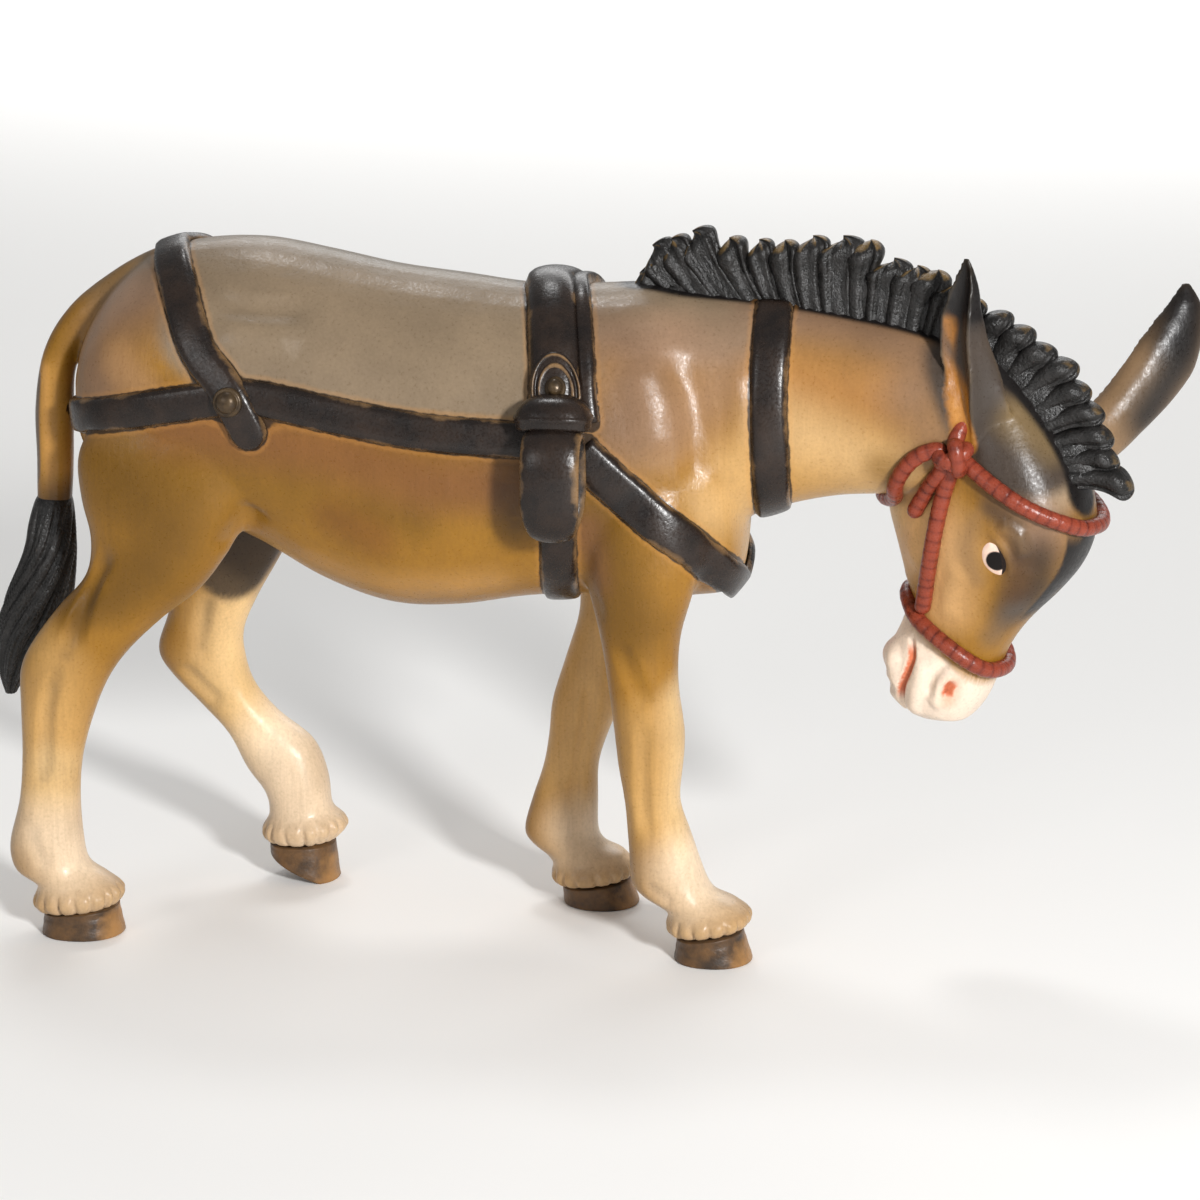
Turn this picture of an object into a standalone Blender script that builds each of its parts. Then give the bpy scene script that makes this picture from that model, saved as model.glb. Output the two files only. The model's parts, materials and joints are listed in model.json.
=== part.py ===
"""A carved and painted wooden donkey in cart harness, standing in mid-step with its head lowered.

Lengths are in millimetres until build_object turns them into metres. +X is towards the head, +Y the
animal's left and +Z up. The side outlines are stations: two points on a part's edges as seen from
the side, and the half width there. The body is one blend of lofts, parted by thin cuts.
"""

import math
from typing import NamedTuple

import bmesh
import bpy
import numpy as np
from mathutils import Matrix, Vector
from mathutils.bvhtree import BVHTree

# ---------------------------------------------------------------- driving sizes, in millimetres
TO_METRES = 0.001
GAP = 0.3                    # between neighbouring solids
LIFT = 0.4                   # of a strap's underside from the skin
VOXEL = 0.7                  # grid that blends the overlapping lofts into one body
BODY_SMOOTHING = 6
BODY_TRIANGLES = 2700
RING_STEP = 2.0
RING_SIDES = 28
CUT_THICKNESS = 0.34

ORIGIN = (-3.0, 0.0, 2.0)    # the middle of the figure's floor, which the outlines are drawn from
FLOOR = ORIGIN[2]

HEAD_PIVOT = (50.4, -1.5, 41.0)      # middle of the muzzle
HEAD_LEAN = math.radians(17)         # of the head's length from the vertical
HEAD_TURN = math.radians(25)         # towards the animal's right
HEAD_ROLL = math.radians(3)          # right ear up

NARROW = 3.0                 # a strap under this width is flat across
ROPE_RADIUS = 0.95


class Station(NamedTuple):
    """One cross-section: low and high are (x, z) on its two edges, seen from the side."""

    low: tuple
    high: tuple
    half_width: float
    middle_y: float = 0.0
    widest: float = 0.5
    power: float = 2.2


# ---------------------------------------------------------------- side outlines
TRUNK = (
    Station((-77.4, 80.0), (-77.6, 87.0), 5.0),
    Station((-76.2, 74.0), (-75.4, 92.6), 10.5),
    Station((-73.0, 70.0), (-71.5, 98.6), 14.0),
    Station((-68.0, 67.0), (-66.5, 102.8), 16.6, 0, 0.46),
    Station((-60.0, 65.0), (-60.0, 105.2), 18.2, 0, 0.44),
    Station((-50.0, 61.0), (-50.0, 105.8), 19.0, 0, 0.45),
    Station((-40.0, 55.4), (-40.0, 104.2), 19.3, 0, 0.45),
    Station((-30.0, 52.2), (-30.0, 102.2), 19.8, 0, 0.42),
    Station((-20.0, 52.2), (-20.0, 101.0), 19.6, 0, 0.42),
    Station((-10.0, 53.8), (-10.0, 99.8), 18.6, 0, 0.42),
    Station((0.0, 54.4), (0.0, 100.0), 17.4, 0, 0.42),
    Station((8.0, 54.0), (8.0, 100.2), 16.4, 0, 0.40),
    Station((15.0, 54.6), (14.5, 98.0), 14.4, 0, 0.36),
    Station((19.6, 55.4), (19.0, 92.0), 11.8, 0, 0.34),
    Station((21.4, 58.4), (21.4, 82.0), 8.0, 0, 0.34),
    Station((21.9, 62.5), (22.4, 72.0), 3.6),
)
NECK = (
    Station((-2.0, 62.0), (-6.0, 97.0), 9.0, 0, 0.4),
    Station((9.0, 63.0), (6.0, 99.9), 12.4, 0, 0.35),
    Station((18.0, 65.0), (15.0, 99.3), 12.2, 0, 0.35),
    Station((27.0, 68.2), (25.0, 98.6), 10.6, -0.4, 0.38),
    Station((35.0, 70.2), (34.0, 97.4), 9.4, -1.6, 0.42),
    Station((42.0, 71.0), (43.0, 95.9), 8.8, -3.2, 0.45),
    Station((48.0, 72.0), (50.5, 94.0), 8.4, -4.6, 0.48),
    Station((53.0, 74.0), (56.0, 91.0), 7.2, -5.4, 0.5),
)
# In the head's own plane: the first number is forward of its axis, the second along it from the muzzle.
HEAD = (
    Station((-4.2, -4.2), (1.2, -4.0), 2.6),
    Station((-7.2, -2.6), (5.0, -2.4), 5.0),
    Station((-8.8, 1.4), (6.9, 1.8), 6.9, 0, 0.55),
    Station((-9.0, 5.0), (7.2, 6.0), 7.2, 0, 0.55),
    Station((-8.6, 9.5), (7.6, 11.0), 6.7, 0, 0.55),
    Station((-10.2, 14.5), (9.2, 16.0), 7.0, 0, 0.55),
    Station((-13.4, 19.5), (11.9, 21.5), 8.6, 0, 0.55),
    Station((-17.0, 25.0), (13.8, 27.0), 9.9, 0, 0.58),
    Station((-17.8, 31.0), (13.6, 32.5), 10.4, 0, 0.58),
    Station((-17.0, 37.0), (10.4, 38.0), 10.2, 0, 0.55),
    Station((-15.2, 42.0), (5.6, 43.0), 9.4, 0, 0.52),
    Station((-13.0, 47.0), (0.2, 47.5), 8.0),
    Station((-11.0, 50.5), (-4.7, 50.8), 5.2),
)
FORELEG_RIGHT = (
    Station((-1.5, 78.0), (13.0, 80.0), 3.6, -10.0),
    Station((-2.0, 70.0), (15.5, 72.0), 5.0, -11.6),
    Station((-1.2, 62.0), (16.6, 63.0), 6.0, -11.6),
    Station((0.4, 55.6), (15.0, 56.6), 6.2, -11.2),
    Station((1.8, 49.6), (13.3, 50.2), 5.7, -11.2),
    Station((2.9, 42.6), (13.1, 43.4), 5.2, -11.4),
    Station((3.8, 36.0), (14.1, 36.2), 5.1, -11.5),
    Station((4.4, 31.0), (13.9, 31.4), 4.9, -11.6),
    Station((5.4, 25.4), (13.5, 26.0), 4.3, -11.8),
    Station((6.0, 18.6), (15.2, 21.0), 4.3, -12.0),
    Station((6.6, 12.8), (17.6, 14.2), 4.9, -12.0),
    Station((10.0, 10.4), (19.2, 12.0), 5.0, -12.0),
    Station((12.3, 8.8), (22.0, 11.0), 5.4, -12.0),
    Station((12.2, 6.4), (23.9, 9.4), 5.9, -12.0),
    Station((12.9, 5.5), (23.2, 7.4), 5.4, -12.0),
)
FORELEG_LEFT = (
    Station((-6.0, 78.0), (9.0, 80.0), 3.6, 10.0),
    Station((-6.5, 70.0), (12.0, 71.0), 5.0, 11.2),
    Station((-5.8, 62.0), (12.5, 63.0), 6.0, 11.2),
    Station((-4.8, 55.0), (10.0, 56.4), 6.0, 11.0),
    Station((-4.6, 48.6), (7.0, 49.4), 5.5, 11.0),
    Station((-6.6, 41.6), (4.2, 42.4), 5.1, 11.0),
    Station((-8.8, 34.4), (2.2, 35.2), 5.0, 11.0),
    Station((-9.3, 29.4), (0.0, 29.8), 4.8, 11.0),
    Station((-10.2, 24.0), (-1.7, 24.4), 4.2, 11.0),
    Station((-12.2, 17.8), (-1.8, 18.6), 4.3, 11.0),
    Station((-13.2, 12.6), (-1.7, 13.0), 4.9, 11.0),
    Station((-9.8, 9.8), (0.0, 11.0), 5.0, 11.0),
    Station((-8.4, 7.6), (2.4, 10.2), 5.4, 11.0),
    Station((-8.4, 6.0), (3.6, 8.0), 5.9, 11.0),
    Station((-7.6, 4.8), (3.5, 6.6), 5.4, 11.0),
)
HINDLEG_RIGHT = (
    Station((-70.0, 84.0), (-52.0, 86.0), 3.0, -13.0),
    Station((-74.8, 76.0), (-47.0, 79.0), 5.4, -12.8),
    Station((-74.8, 69.0), (-47.0, 71.0), 6.4, -12.6),
    Station((-73.5, 63.0), (-51.5, 63.6), 6.4, -12.6),
    Station((-74.4, 57.4), (-57.0, 56.0), 6.0, -12.8),
    Station((-78.6, 52.6), (-63.0, 51.2), 5.4, -13.0),
    Station((-82.6, 47.4), (-68.4, 46.0), 5.0, -13.2),
    Station((-84.8, 43.0), (-71.6, 41.6), 4.8, -13.3),
    Station((-85.0, 37.0), (-74.0, 36.2), 4.5, -13.3),
    Station((-85.1, 29.6), (-76.0, 29.6), 4.1, -13.3),
    Station((-85.8, 22.6), (-76.7, 23.4), 4.2, -13.3),
    Station((-87.6, 15.6), (-76.5, 17.0), 4.8, -13.3),
    Station((-86.6, 11.4), (-75.7, 12.6), 5.0, -13.3),
    Station((-83.2, 9.6), (-72.8, 10.8), 5.2, -13.3),
    Station((-83.8, 6.4), (-71.0, 8.6), 5.7, -13.3),
    Station((-83.0, 5.2), (-71.4, 6.6), 5.3, -13.3),
)
HINDLEG_LEFT = (
    Station((-64.0, 84.0), (-46.0, 86.0), 3.0, 12.6),
    Station((-72.0, 76.0), (-43.5, 79.0), 5.4, 12.4),
    Station((-73.0, 68.0), (-45.0, 70.0), 6.4, 12.6),
    Station((-70.6, 60.0), (-47.4, 62.4), 6.4, 13.2),
    Station((-69.4, 52.6), (-52.0, 54.0), 5.8, 14.0),
    Station((-69.6, 45.8), (-55.8, 47.6), 5.2, 15.0),
    Station((-71.9, 39.0), (-58.3, 42.0), 4.8, 15.8),
    Station((-70.0, 35.0), (-58.2, 37.4), 4.7, 16.2),
    Station((-65.4, 30.0), (-56.8, 32.9), 4.3, 16.6),
    Station((-61.2, 25.2), (-53.2, 28.5), 4.2, 16.9),
    Station((-58.4, 19.6), (-47.6, 24.0), 4.7, 17.0),
    Station((-55.6, 16.0), (-45.4, 17.8), 4.9, 17.0),
    Station((-54.9, 12.8), (-45.2, 13.8), 5.0, 17.0),
    Station((-55.6, 9.8), (-43.0, 10.6), 5.7, 17.0),
    Station((-55.4, 7.8), (-44.4, 8.2), 5.3, 17.0),
)
HOOVES = {
    "hoof_hind_right": (
        Station((-82.6, 5.2), (-71.4, 6.4), 5.2, -13.3),
        Station((-83.0, 2.0), (-70.6, 2.0), 5.7, -13.3),
    ),
    "hoof_hind_left": (
        Station((-55.0, 7.5), (-44.6, 7.8), 5.1, 17.0),
        Station((-54.8, 6.0), (-44.0, 0.8), 5.6, 17.0),
    ),
    "hoof_fore_right": (
        Station((13.2, 5.2), (22.9, 6.8), 5.2, -12.0),
        Station((12.8, 2.0), (24.4, 2.0), 5.7, -12.0),
    ),
    "hoof_fore_left": (
        Station((-7.3, 4.6), (3.2, 6.0), 5.2, 11.0),
        Station((-7.0, 2.0), (4.6, 2.0), 5.6, 11.0),
    ),
}
TAIL_DOCK = (
    Station((-67.4, 96.0), (-67.6, 103.0), 2.8),
    Station((-72.0, 93.0), (-72.8, 100.2), 3.4),
    Station((-76.4, 89.8), (-79.0, 95.3), 3.5),
    Station((-79.0, 85.4), (-83.3, 88.8), 3.3),
    Station((-79.5, 79.0), (-85.1, 80.4), 3.2),
    Station((-79.8, 72.0), (-85.2, 72.0), 3.1),
    Station((-79.8, 63.5), (-86.0, 63.5), 3.3),
)
TAIL_TASSEL = (
    Station((-80.4, 63.0), (-86.2, 63.0), 3.6),
    Station((-80.0, 57.0), (-88.0, 57.5), 4.8),
    Station((-81.4, 48.0), (-91.6, 48.5), 5.2),
    Station((-85.2, 42.8), (-92.5, 43.2), 4.5),
    Station((-88.2, 38.5), (-92.5, 38.7), 3.1),
    Station((-90.2, 35.0), (-91.8, 35.1), 1.2),
)


# ---------------------------------------------------------------- curves and lofts
def between(before, start, end, after, t):
    """A Catmull-Rom curve from start to end, at t from 0 to 1."""
    return 0.5 * (
        2 * start
        + (end - before) * t
        + (2 * before - 5 * start + 4 * end - after) * t**2
        + (3 * start - before - 3 * end + after) * t**3
    )


def smooth_rows(rows, step, closed=False):
    """The rows with more between them, about step apart in their first three columns."""
    rows = np.array(rows, float)
    count = len(rows)
    found = []
    for i in range(count if closed else count - 1):
        around = [i - 1, i, i + 1, i + 2]
        around = [k % count if closed else min(max(k, 0), count - 1) for k in around]
        four = [rows[k] for k in around]
        length = np.linalg.norm((four[2] - four[1])[:3])
        parts = max(1, round(length / step))
        found += [between(*four, k / parts) for k in range(parts)]
    return np.array(found if closed else found + [rows[-1]])


def section_ring(row, sides):
    """Points round one section, on a superellipse whose widest place may be off the middle."""
    low_x, low_z, high_x, high_z, half_width, middle_y, widest, power = row
    ring = []
    for k in range(sides):
        turn = 2 * math.pi * k / sides
        across = math.copysign(abs(math.cos(turn)) ** (2 / power), math.cos(turn))
        up = math.copysign(abs(math.sin(turn)) ** (2 / power), math.sin(turn))
        share = widest + up * ((1 - widest) if up > 0 else widest)
        ring.append((
            low_x + share * (high_x - low_x),
            middle_y + half_width * across,
            low_z + share * (high_z - low_z),
        ))
    return ring


def station_rings(stations, step=RING_STEP, sides=RING_SIDES):
    rows = []
    for s in stations:
        middle = ((s.low[0] + s.high[0]) / 2, (s.low[1] + s.high[1]) / 2, s.middle_y)
        rows.append((*middle, *s.low, *s.high, s.half_width, s.middle_y, s.widest, s.power))
    return [section_ring(row[3:], sides) for row in smooth_rows(rows, step)]


def loft(rings, closed=False):
    """A bmesh skin over rings of equally many points, capped where it isn't a closed loop."""
    bm = bmesh.new()
    made = [[bm.verts.new(point) for point in ring] for ring in rings]
    sides = len(made[0])
    pairs = list(zip(made, made[1:]))
    if closed:
        pairs.append((made[-1], made[0]))
    for one, two in pairs:
        for k in range(sides):
            after = (k + 1) % sides
            bm.faces.new((one[k], one[after], two[after], two[k]))
    if not closed:
        bm.faces.new(made[0])
        bm.faces.new(made[-1])
    bmesh.ops.recalc_face_normals(bm, faces=bm.faces)
    return bm


def as_mesh(name, bm):
    """The bmesh as an object, its millimetres kept until the figure is whole."""
    mesh = bpy.data.meshes.new(name)
    bm.to_mesh(mesh)
    bm.free()
    return bpy.data.objects.new(name, mesh)


def joined(name, parts):
    bm = bmesh.new()
    for part in parts:
        bm.from_mesh(part.data)
        bpy.data.objects.remove(part)
    return as_mesh(name, bm)


def evaluated(name, source, keep=False):
    """A plain mesh object of source as its modifiers leave it."""
    bpy.context.view_layer.update()
    graph = bpy.context.evaluated_depsgraph_get()
    mesh = bpy.data.meshes.new_from_object(source.evaluated_get(graph))
    if not keep:
        bpy.data.objects.remove(source)
    return bpy.data.objects.new(name, mesh)


def head_frame():
    """From the head's plane (forward, left, along) to the figure: its three axes and the pivot."""
    turn = Matrix.Rotation(-HEAD_TURN, 4, "Z")
    lean = Matrix.Rotation(HEAD_LEAN, 4, "Y")
    roll = Matrix.Rotation(-HEAD_ROLL, 4, "X")
    return Matrix.Translation(HEAD_PIVOT) @ turn @ lean @ roll


def in_head(forward, left, along):
    return head_frame() @ Vector((forward, left, along))


# ---------------------------------------------------------------- collections and finishes
def fresh_collection(name):
    found = bpy.data.collections.new(name)
    bpy.context.scene.collection.children.link(found)
    return found


def linear(hex_colour):
    """An sRGB hex colour as linear red, green, blue and alpha."""
    values = [int(hex_colour[i:i + 2], 16) / 255 for i in (1, 3, 5)]
    return [v / 12.92 if v <= 0.04045 else ((v + 0.055) / 1.055) ** 2.4 for v in values] + [1.0]


def finish(name, colour, roughness, metallic=0.0):
    material = bpy.data.materials.new(name)
    material.use_nodes = True
    shader = material.node_tree.nodes["Principled BSDF"]
    shader.inputs["Base Color"].default_value = linear(colour)
    shader.inputs["Roughness"].default_value = roughness
    shader.inputs["Metallic"].default_value = metallic
    return material


# ---------------------------------------------------------------- the body
def modifier(obj, kind, **settings):
    added = obj.modifiers.new(kind.title(), kind)
    for name, value in settings.items():
        setattr(added, name, value)
    return added


def head_loft():
    bm = loft(station_rings(HEAD))
    # section_ring works in x and z, which here are forward and along.
    bm.transform(head_frame())
    return as_mesh("head_loft", bm)


def blended_body(holder):
    """Every loft of flesh as one skin, thinned to about BODY_TRIANGLES."""
    lofts = [as_mesh("loft", loft(station_rings(part))) for part in (
        TRUNK, NECK, FORELEG_RIGHT, FORELEG_LEFT, HINDLEG_RIGHT, HINDLEG_LEFT)]
    body = joined("body", [*lofts, head_loft()])
    holder.objects.link(body)
    modifier(body, "REMESH", mode="VOXEL", voxel_size=VOXEL)
    modifier(body, "SMOOTH", factor=0.5, iterations=BODY_SMOOTHING)
    body = evaluated("body", body)
    holder.objects.link(body)
    body.data.update()
    faces = 2 * len(body.data.polygons)
    modifier(body, "DECIMATE", ratio=BODY_TRIANGLES / faces, use_collapse_triangulate=True)
    body = evaluated("body", body)
    holder.objects.link(body)
    return body


def box_cutter(name, holder, middle, size, pitch=0.0, turn=0.0):
    """A box with its size along its own axes, tilted about Y and then turned about Z."""
    bm = bmesh.new()
    bmesh.ops.create_cube(bm, size=1.0)
    placed = Matrix.Translation(middle) @ Matrix.Rotation(turn, 4, "Z") @ Matrix.Rotation(pitch, 4, "Y")
    bm.transform(placed @ Matrix.Diagonal((*size, 1.0)))
    cutter = as_mesh(name, bm)
    cutter.hide_render = True
    cutter.display_type = "WIRE"
    holder.objects.link(cutter)
    return cutter


# Where the thin cuts part the body: the middle of each, its size, its pitch and its turn.
CUTS = {
    "neck": ((23.6, 0.0, 83.0), (CUT_THICKNESS, 44.0, 42.0), -0.10, 0.0),
    "head": ((46.0, -4.5, 81.0), (CUT_THICKNESS, 40.0, 36.0), 0.42, -0.3),
    "leg_fore_right": ((7.5, -12.0, 52.6), (24.0, 16.0, CUT_THICKNESS), 0.0, 0.0),
    "leg_fore_left": ((1.0, 11.6, 51.6), (20.0, 16.0, CUT_THICKNESS), 0.0, 0.0),
    "leg_hind_right": ((-65.0, -13.0, 60.0), (36.0, 21.0, CUT_THICKNESS), 0.12, 0.0),
    "leg_hind_left": ((-60.0, 13.6, 58.6), (36.0, 21.0, CUT_THICKNESS), 0.12, 0.0),
}
BODY_PARTS = {
    "trunk": (-30.0, 0.0, 78.0),
    "neck": (36.0, -2.0, 84.0),
    "head": (57.0, -4.0, 66.0),
    "leg_fore_right": (10.0, -12.0, 30.0),
    "leg_fore_left": (-6.0, 11.0, 28.0),
    "leg_hind_right": (-78.0, -13.0, 32.0),
    "leg_hind_left": (-58.0, 15.0, 34.0),
}


def loose_pieces(source):
    """The faces of a mesh object in lists, one for each separate body, as new bmeshes."""
    whole = bmesh.new()
    whole.from_mesh(source.data)
    whole.faces.ensure_lookup_table()
    left = set(whole.faces)
    while left:
        stack = [next(iter(left))]
        island = set(stack)
        while stack:
            face = stack.pop()
            for edge in face.edges:
                for other in edge.link_faces:
                    if other not in island:
                        island.add(other)
                        stack.append(other)
        left -= island
        piece = bmesh.new()
        copies = {}
        for face in sorted(island, key=lambda f: f.index):
            for vert in face.verts:
                if vert not in copies:
                    copies[vert] = piece.verts.new(vert.co)
            piece.faces.new([copies[vert] for vert in face.verts])
        yield piece
    whole.free()


def nearest_name(piece, places):
    middle = sum((v.co for v in piece.verts), Vector()) / len(piece.verts)
    return min(places, key=lambda name: (middle - Vector(places[name])).length)


def part_body(body, cutters):
    """The body's named parts, as mesh objects, after the thin cuts."""
    for name, (middle, size, pitch, turn) in CUTS.items():
        cutter = box_cutter(f"cut_{name}", cutters, middle, size, pitch, turn)
        modifier(body, "BOOLEAN", operation="DIFFERENCE", object=cutter)
    cut = evaluated("cut_body", body, keep=True)
    found = {}
    for piece in loose_pieces(cut):
        name = nearest_name(piece, BODY_PARTS)
        if name not in found or len(piece.verts) > len(found[name].data.vertices):
            found[name] = as_mesh(name, piece)
    bpy.data.objects.remove(cut)
    body.modifiers.clear()
    return found


# ---------------------------------------------------------------- ears, eyes, mane and tail
class Ear(NamedTuple):
    """A cupped ear: the route of its hollow's middle, the way the hollow opens, and its sections.

    A section is its share of the length, the hollow's width, how far the back bulges, how deep the
    hollow is (or where negative, how full), and how far the back is skewed to one side.
    """

    route: tuple
    opening: tuple
    sections: tuple


EARS = {
    "ear_right": Ear(
        ((54.4, -10.6, 77.0), (53.6, -12.2, 81.0), (52.8, -13.2, 85.0), (52.2, -13.2, 89.5),
         (51.5, -13.2, 94.0), (51.6, -13.2, 98.5), (52.4, -13.2, 102.5), (53.0, -13.2, 106.6)),
        (-0.62, -0.78, 0.0),
        ((0.00, 1.6, 5.0, 0.2, 3.0), (0.12, 2.4, 5.4, 0.5, 4.2), (0.26, 3.4, 5.2, 1.0, 4.6),
         (0.41, 4.6, 5.0, 1.5, 3.6), (0.56, 5.4, 4.2, 1.8, 2.8), (0.72, 5.2, 3.5, 1.6, 1.8),
         (0.86, 3.8, 2.5, 1.1, 0.8), (0.95, 2.2, 1.4, 0.6, 0.2), (1.00, 0.8, 0.5, 0.0, 0.0)),
    ),
    "ear_left": Ear(
        ((67.4, 1.0, 76.4), (73.6, 4.6, 80.8), (80.4, 7.6, 88.8), (83.4, 9.0, 95.6), (83.8, 9.4, 100.4)),
        (-0.36, 0.93, 0.1),
        ((0.00, 9.6, 5.0, -3.4, 0.0), (0.16, 8.6, 4.4, -1.2, 0.0), (0.32, 8.6, 4.0, 1.6, 0.0),
         (0.50, 9.4, 3.8, 2.3, 0.0), (0.66, 9.8, 3.4, 2.1, 0.0), (0.80, 7.8, 2.8, 1.6, 0.0),
         (0.92, 4.6, 2.0, 0.9, 0.0), (1.00, 1.2, 0.8, 0.0, 0.0)),
    ),
}


def ear_ring(point, along, opening, width, bulge, cup, skew, sides=7):
    """A bean-shaped ring: a bulging back and, in front, a hollow or a swelling."""
    facing = (opening - along * opening.dot(along)).normalized()
    across = along.cross(facing)
    ring = []
    for k in range(sides + 1):
        turn = math.pi * k / sides
        out = width / 2 * math.cos(turn) + skew * math.sin(turn)
        ring.append(point + across * out - facing * (bulge * math.sin(turn)))
    for k in range(1, sides):
        turn = math.pi * (1 - k / sides)
        ring.append(point + across * (width * 0.40 * math.cos(turn)) - facing * (cup * math.sin(turn)))
    return ring


def ear(name, shape):
    route = smooth_rows(shape.route, 2.8)
    lengths = np.concatenate([[0], np.cumsum(np.linalg.norm(np.diff(route, axis=0), axis=1))])
    table = np.array(shape.sections)
    rings = []
    for k, point in enumerate(route):
        share = lengths[k] / lengths[-1]
        sizes = [np.interp(share, table[:, 0], table[:, c]) for c in (1, 2, 3, 4)]
        along = Vector(route[min(k + 1, len(route) - 1)] - route[max(k - 1, 0)]).normalized()
        rings.append(ear_ring(Vector(point), along, Vector(shape.opening), *sizes))
    return as_mesh(name, loft(rings))


EYE_RADIUS = 2.6
EYE_PLACE = (4.6, 7.6, 25.8)         # forward, to either side and along, in the head's plane


def eye(name, side):
    bm = bmesh.new()
    middle = in_head(EYE_PLACE[0], side * EYE_PLACE[1], EYE_PLACE[2])
    bmesh.ops.create_uvsphere(bm, u_segments=12, v_segments=8, radius=EYE_RADIUS)
    bm.transform(Matrix.Translation(middle))
    return as_mesh(name, bm)


# The crest of the mane from the withers over the poll: its foot on the neck, then its free edge.
MANE_ROUTE = (
    ((8.2, 0.0, 97.6), (8.6, 0.0, 100.6)),
    ((13.0, 0.0, 97.0), (12.6, 0.0, 103.0)),
    ((18.8, 0.0, 96.0), (18.4, 0.0, 105.8)),
    ((28.0, -0.6, 95.0), (28.5, -0.6, 107.2)),
    ((37.0, -1.8, 93.0), (38.0, -1.8, 107.2)),
    ((46.0, -3.2, 90.0), (49.0, -3.2, 103.8)),
    ((53.0, -5.0, 85.5), (58.6, -5.4, 97.6)),
    ((58.0, -6.4, 81.5), (66.4, -7.2, 91.6)),
    ((61.0, -7.2, 78.0), (71.6, -8.4, 84.2)),
    ((63.6, -7.8, 75.0), (74.6, -9.6, 77.8)),
    ((65.6, -8.4, 73.4), (75.8, -10.2, 73.8)),
)
LOCKS = 29
FORELOCK_LOCKS = 4
LOCK_NOTCH = 1.6
MANE_THICKNESS = 5.6


def mane_rings(first_lock, last_lock):
    """Rings across the crest from one lock to another, with a notch between neighbours."""
    rows = smooth_rows([foot + top for foot, top in MANE_ROUTE], 0.6)
    steps = np.linalg.norm(np.diff(rows[:, 3:], axis=0), axis=1)
    lengths = np.concatenate([[0], np.cumsum(steps)])
    lock_width = lengths[-1] / LOCKS
    start, end = first_lock * lock_width, last_lock * lock_width
    rings = []
    count = 3 * (last_lock - first_lock)
    for k in range(count + 1):
        at = start + (end - start) * k / count
        foot = Vector([np.interp(at, lengths, rows[:, c]) for c in (0, 1, 2)])
        top = Vector([np.interp(at, lengths, rows[:, c]) for c in (3, 4, 5)])
        up = (top - foot).normalized()
        swell = abs(math.sin(math.pi * at / lock_width))
        top = top - up * LOCK_NOTCH * (1 - swell)
        half = MANE_THICKNESS / 2 * (0.72 + 0.28 * swell)
        side = Vector((0.10, 1.0, 0.0)).normalized()
        middle = foot.lerp(top, 0.62)
        rings.append([
            foot - side * half, foot + side * half,
            middle + side * half, top + side * half * 0.55,
            top - side * half * 0.55, middle - side * half,
        ])
    return rings


def trimmed(obj, grown):
    """The piece of obj outside the grown skin: the largest one, where the cut leaves several."""
    bpy.context.scene.collection.objects.link(obj)
    modifier(obj, "BOOLEAN", operation="DIFFERENCE", object=grown)
    name = obj.name
    whole = evaluated(name, obj)
    pieces = sorted(loose_pieces(whole), key=lambda bm: bm.calc_volume(), reverse=True)
    bpy.data.objects.remove(whole)
    return as_mesh(name, pieces[0])


# ---------------------------------------------------------------- straps and ropes laid on the skin
class Skin:
    """The faceted body, for finding the nearest place on it and the way out of it there."""

    def __init__(self, body):
        mesh = body.data
        mesh.calc_loop_triangles()
        points = [v.co for v in mesh.vertices]
        self.tree = BVHTree.FromPolygons(points, [tuple(t.vertices) for t in mesh.loop_triangles])

    def at(self, point, reach=2.5):
        place, normal, _, _ = self.tree.find_nearest(Vector(point))
        total = Vector(normal)
        for _, other, _, _ in self.tree.find_nearest_range(place, reach):
            total += other
        return place, total.normalized()

    def from_side(self, x, z, side=-1):
        """Where a level ray from the animal's right (-1) or left (1) meets the skin."""
        hit = self.tree.ray_cast(Vector((x, side * 60.0, z)), Vector((0, -side, 0)))[0]
        return hit


def mirrored(points):
    return [(x, -y, z, *rest) for x, y, z, *rest in points]


def laid_path(skin, guides, step, closed=False):
    """Places on the skin along a smooth curve through the guides, each (x, y, z, extra lift)."""
    found = []
    for row in smooth_rows(guides, step, closed):
        place, normal = skin.at(row[:3])
        found.append((place, normal, row[3]))
    return found


def strap(name, skin, guides, width, thickness, step=4.4):
    """A flat band on the skin, of the width given, its guides running down its middle."""
    across = 2 if width < NARROW else 3
    path = laid_path(skin, guides, step)
    feet, outs, lifts = [], [], []
    for k, (place, normal, extra) in enumerate(path):
        side = normal.cross(path[min(k + 1, len(path) - 1)][0] - path[max(k - 1, 0)][0]).normalized()
        for j in range(across):
            edge, out = skin.at(place + side * width * (j / (across - 1) - 0.5))
            feet.append(edge)
            outs.append((out + normal).normalized())
            lifts.append(LIFT + extra)
    lifts = clear_lifts(skin, feet, outs, lifts, across)
    rings = []
    for start in range(0, len(feet), across):
        here = range(start, start + across)
        under = [feet[i] + outs[i] * lifts[i] for i in here]
        over = [feet[i] + outs[i] * (lifts[i] + thickness) for i in here]
        rings.append(under + over[::-1])
    return as_mesh(name, loft(rings))


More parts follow.
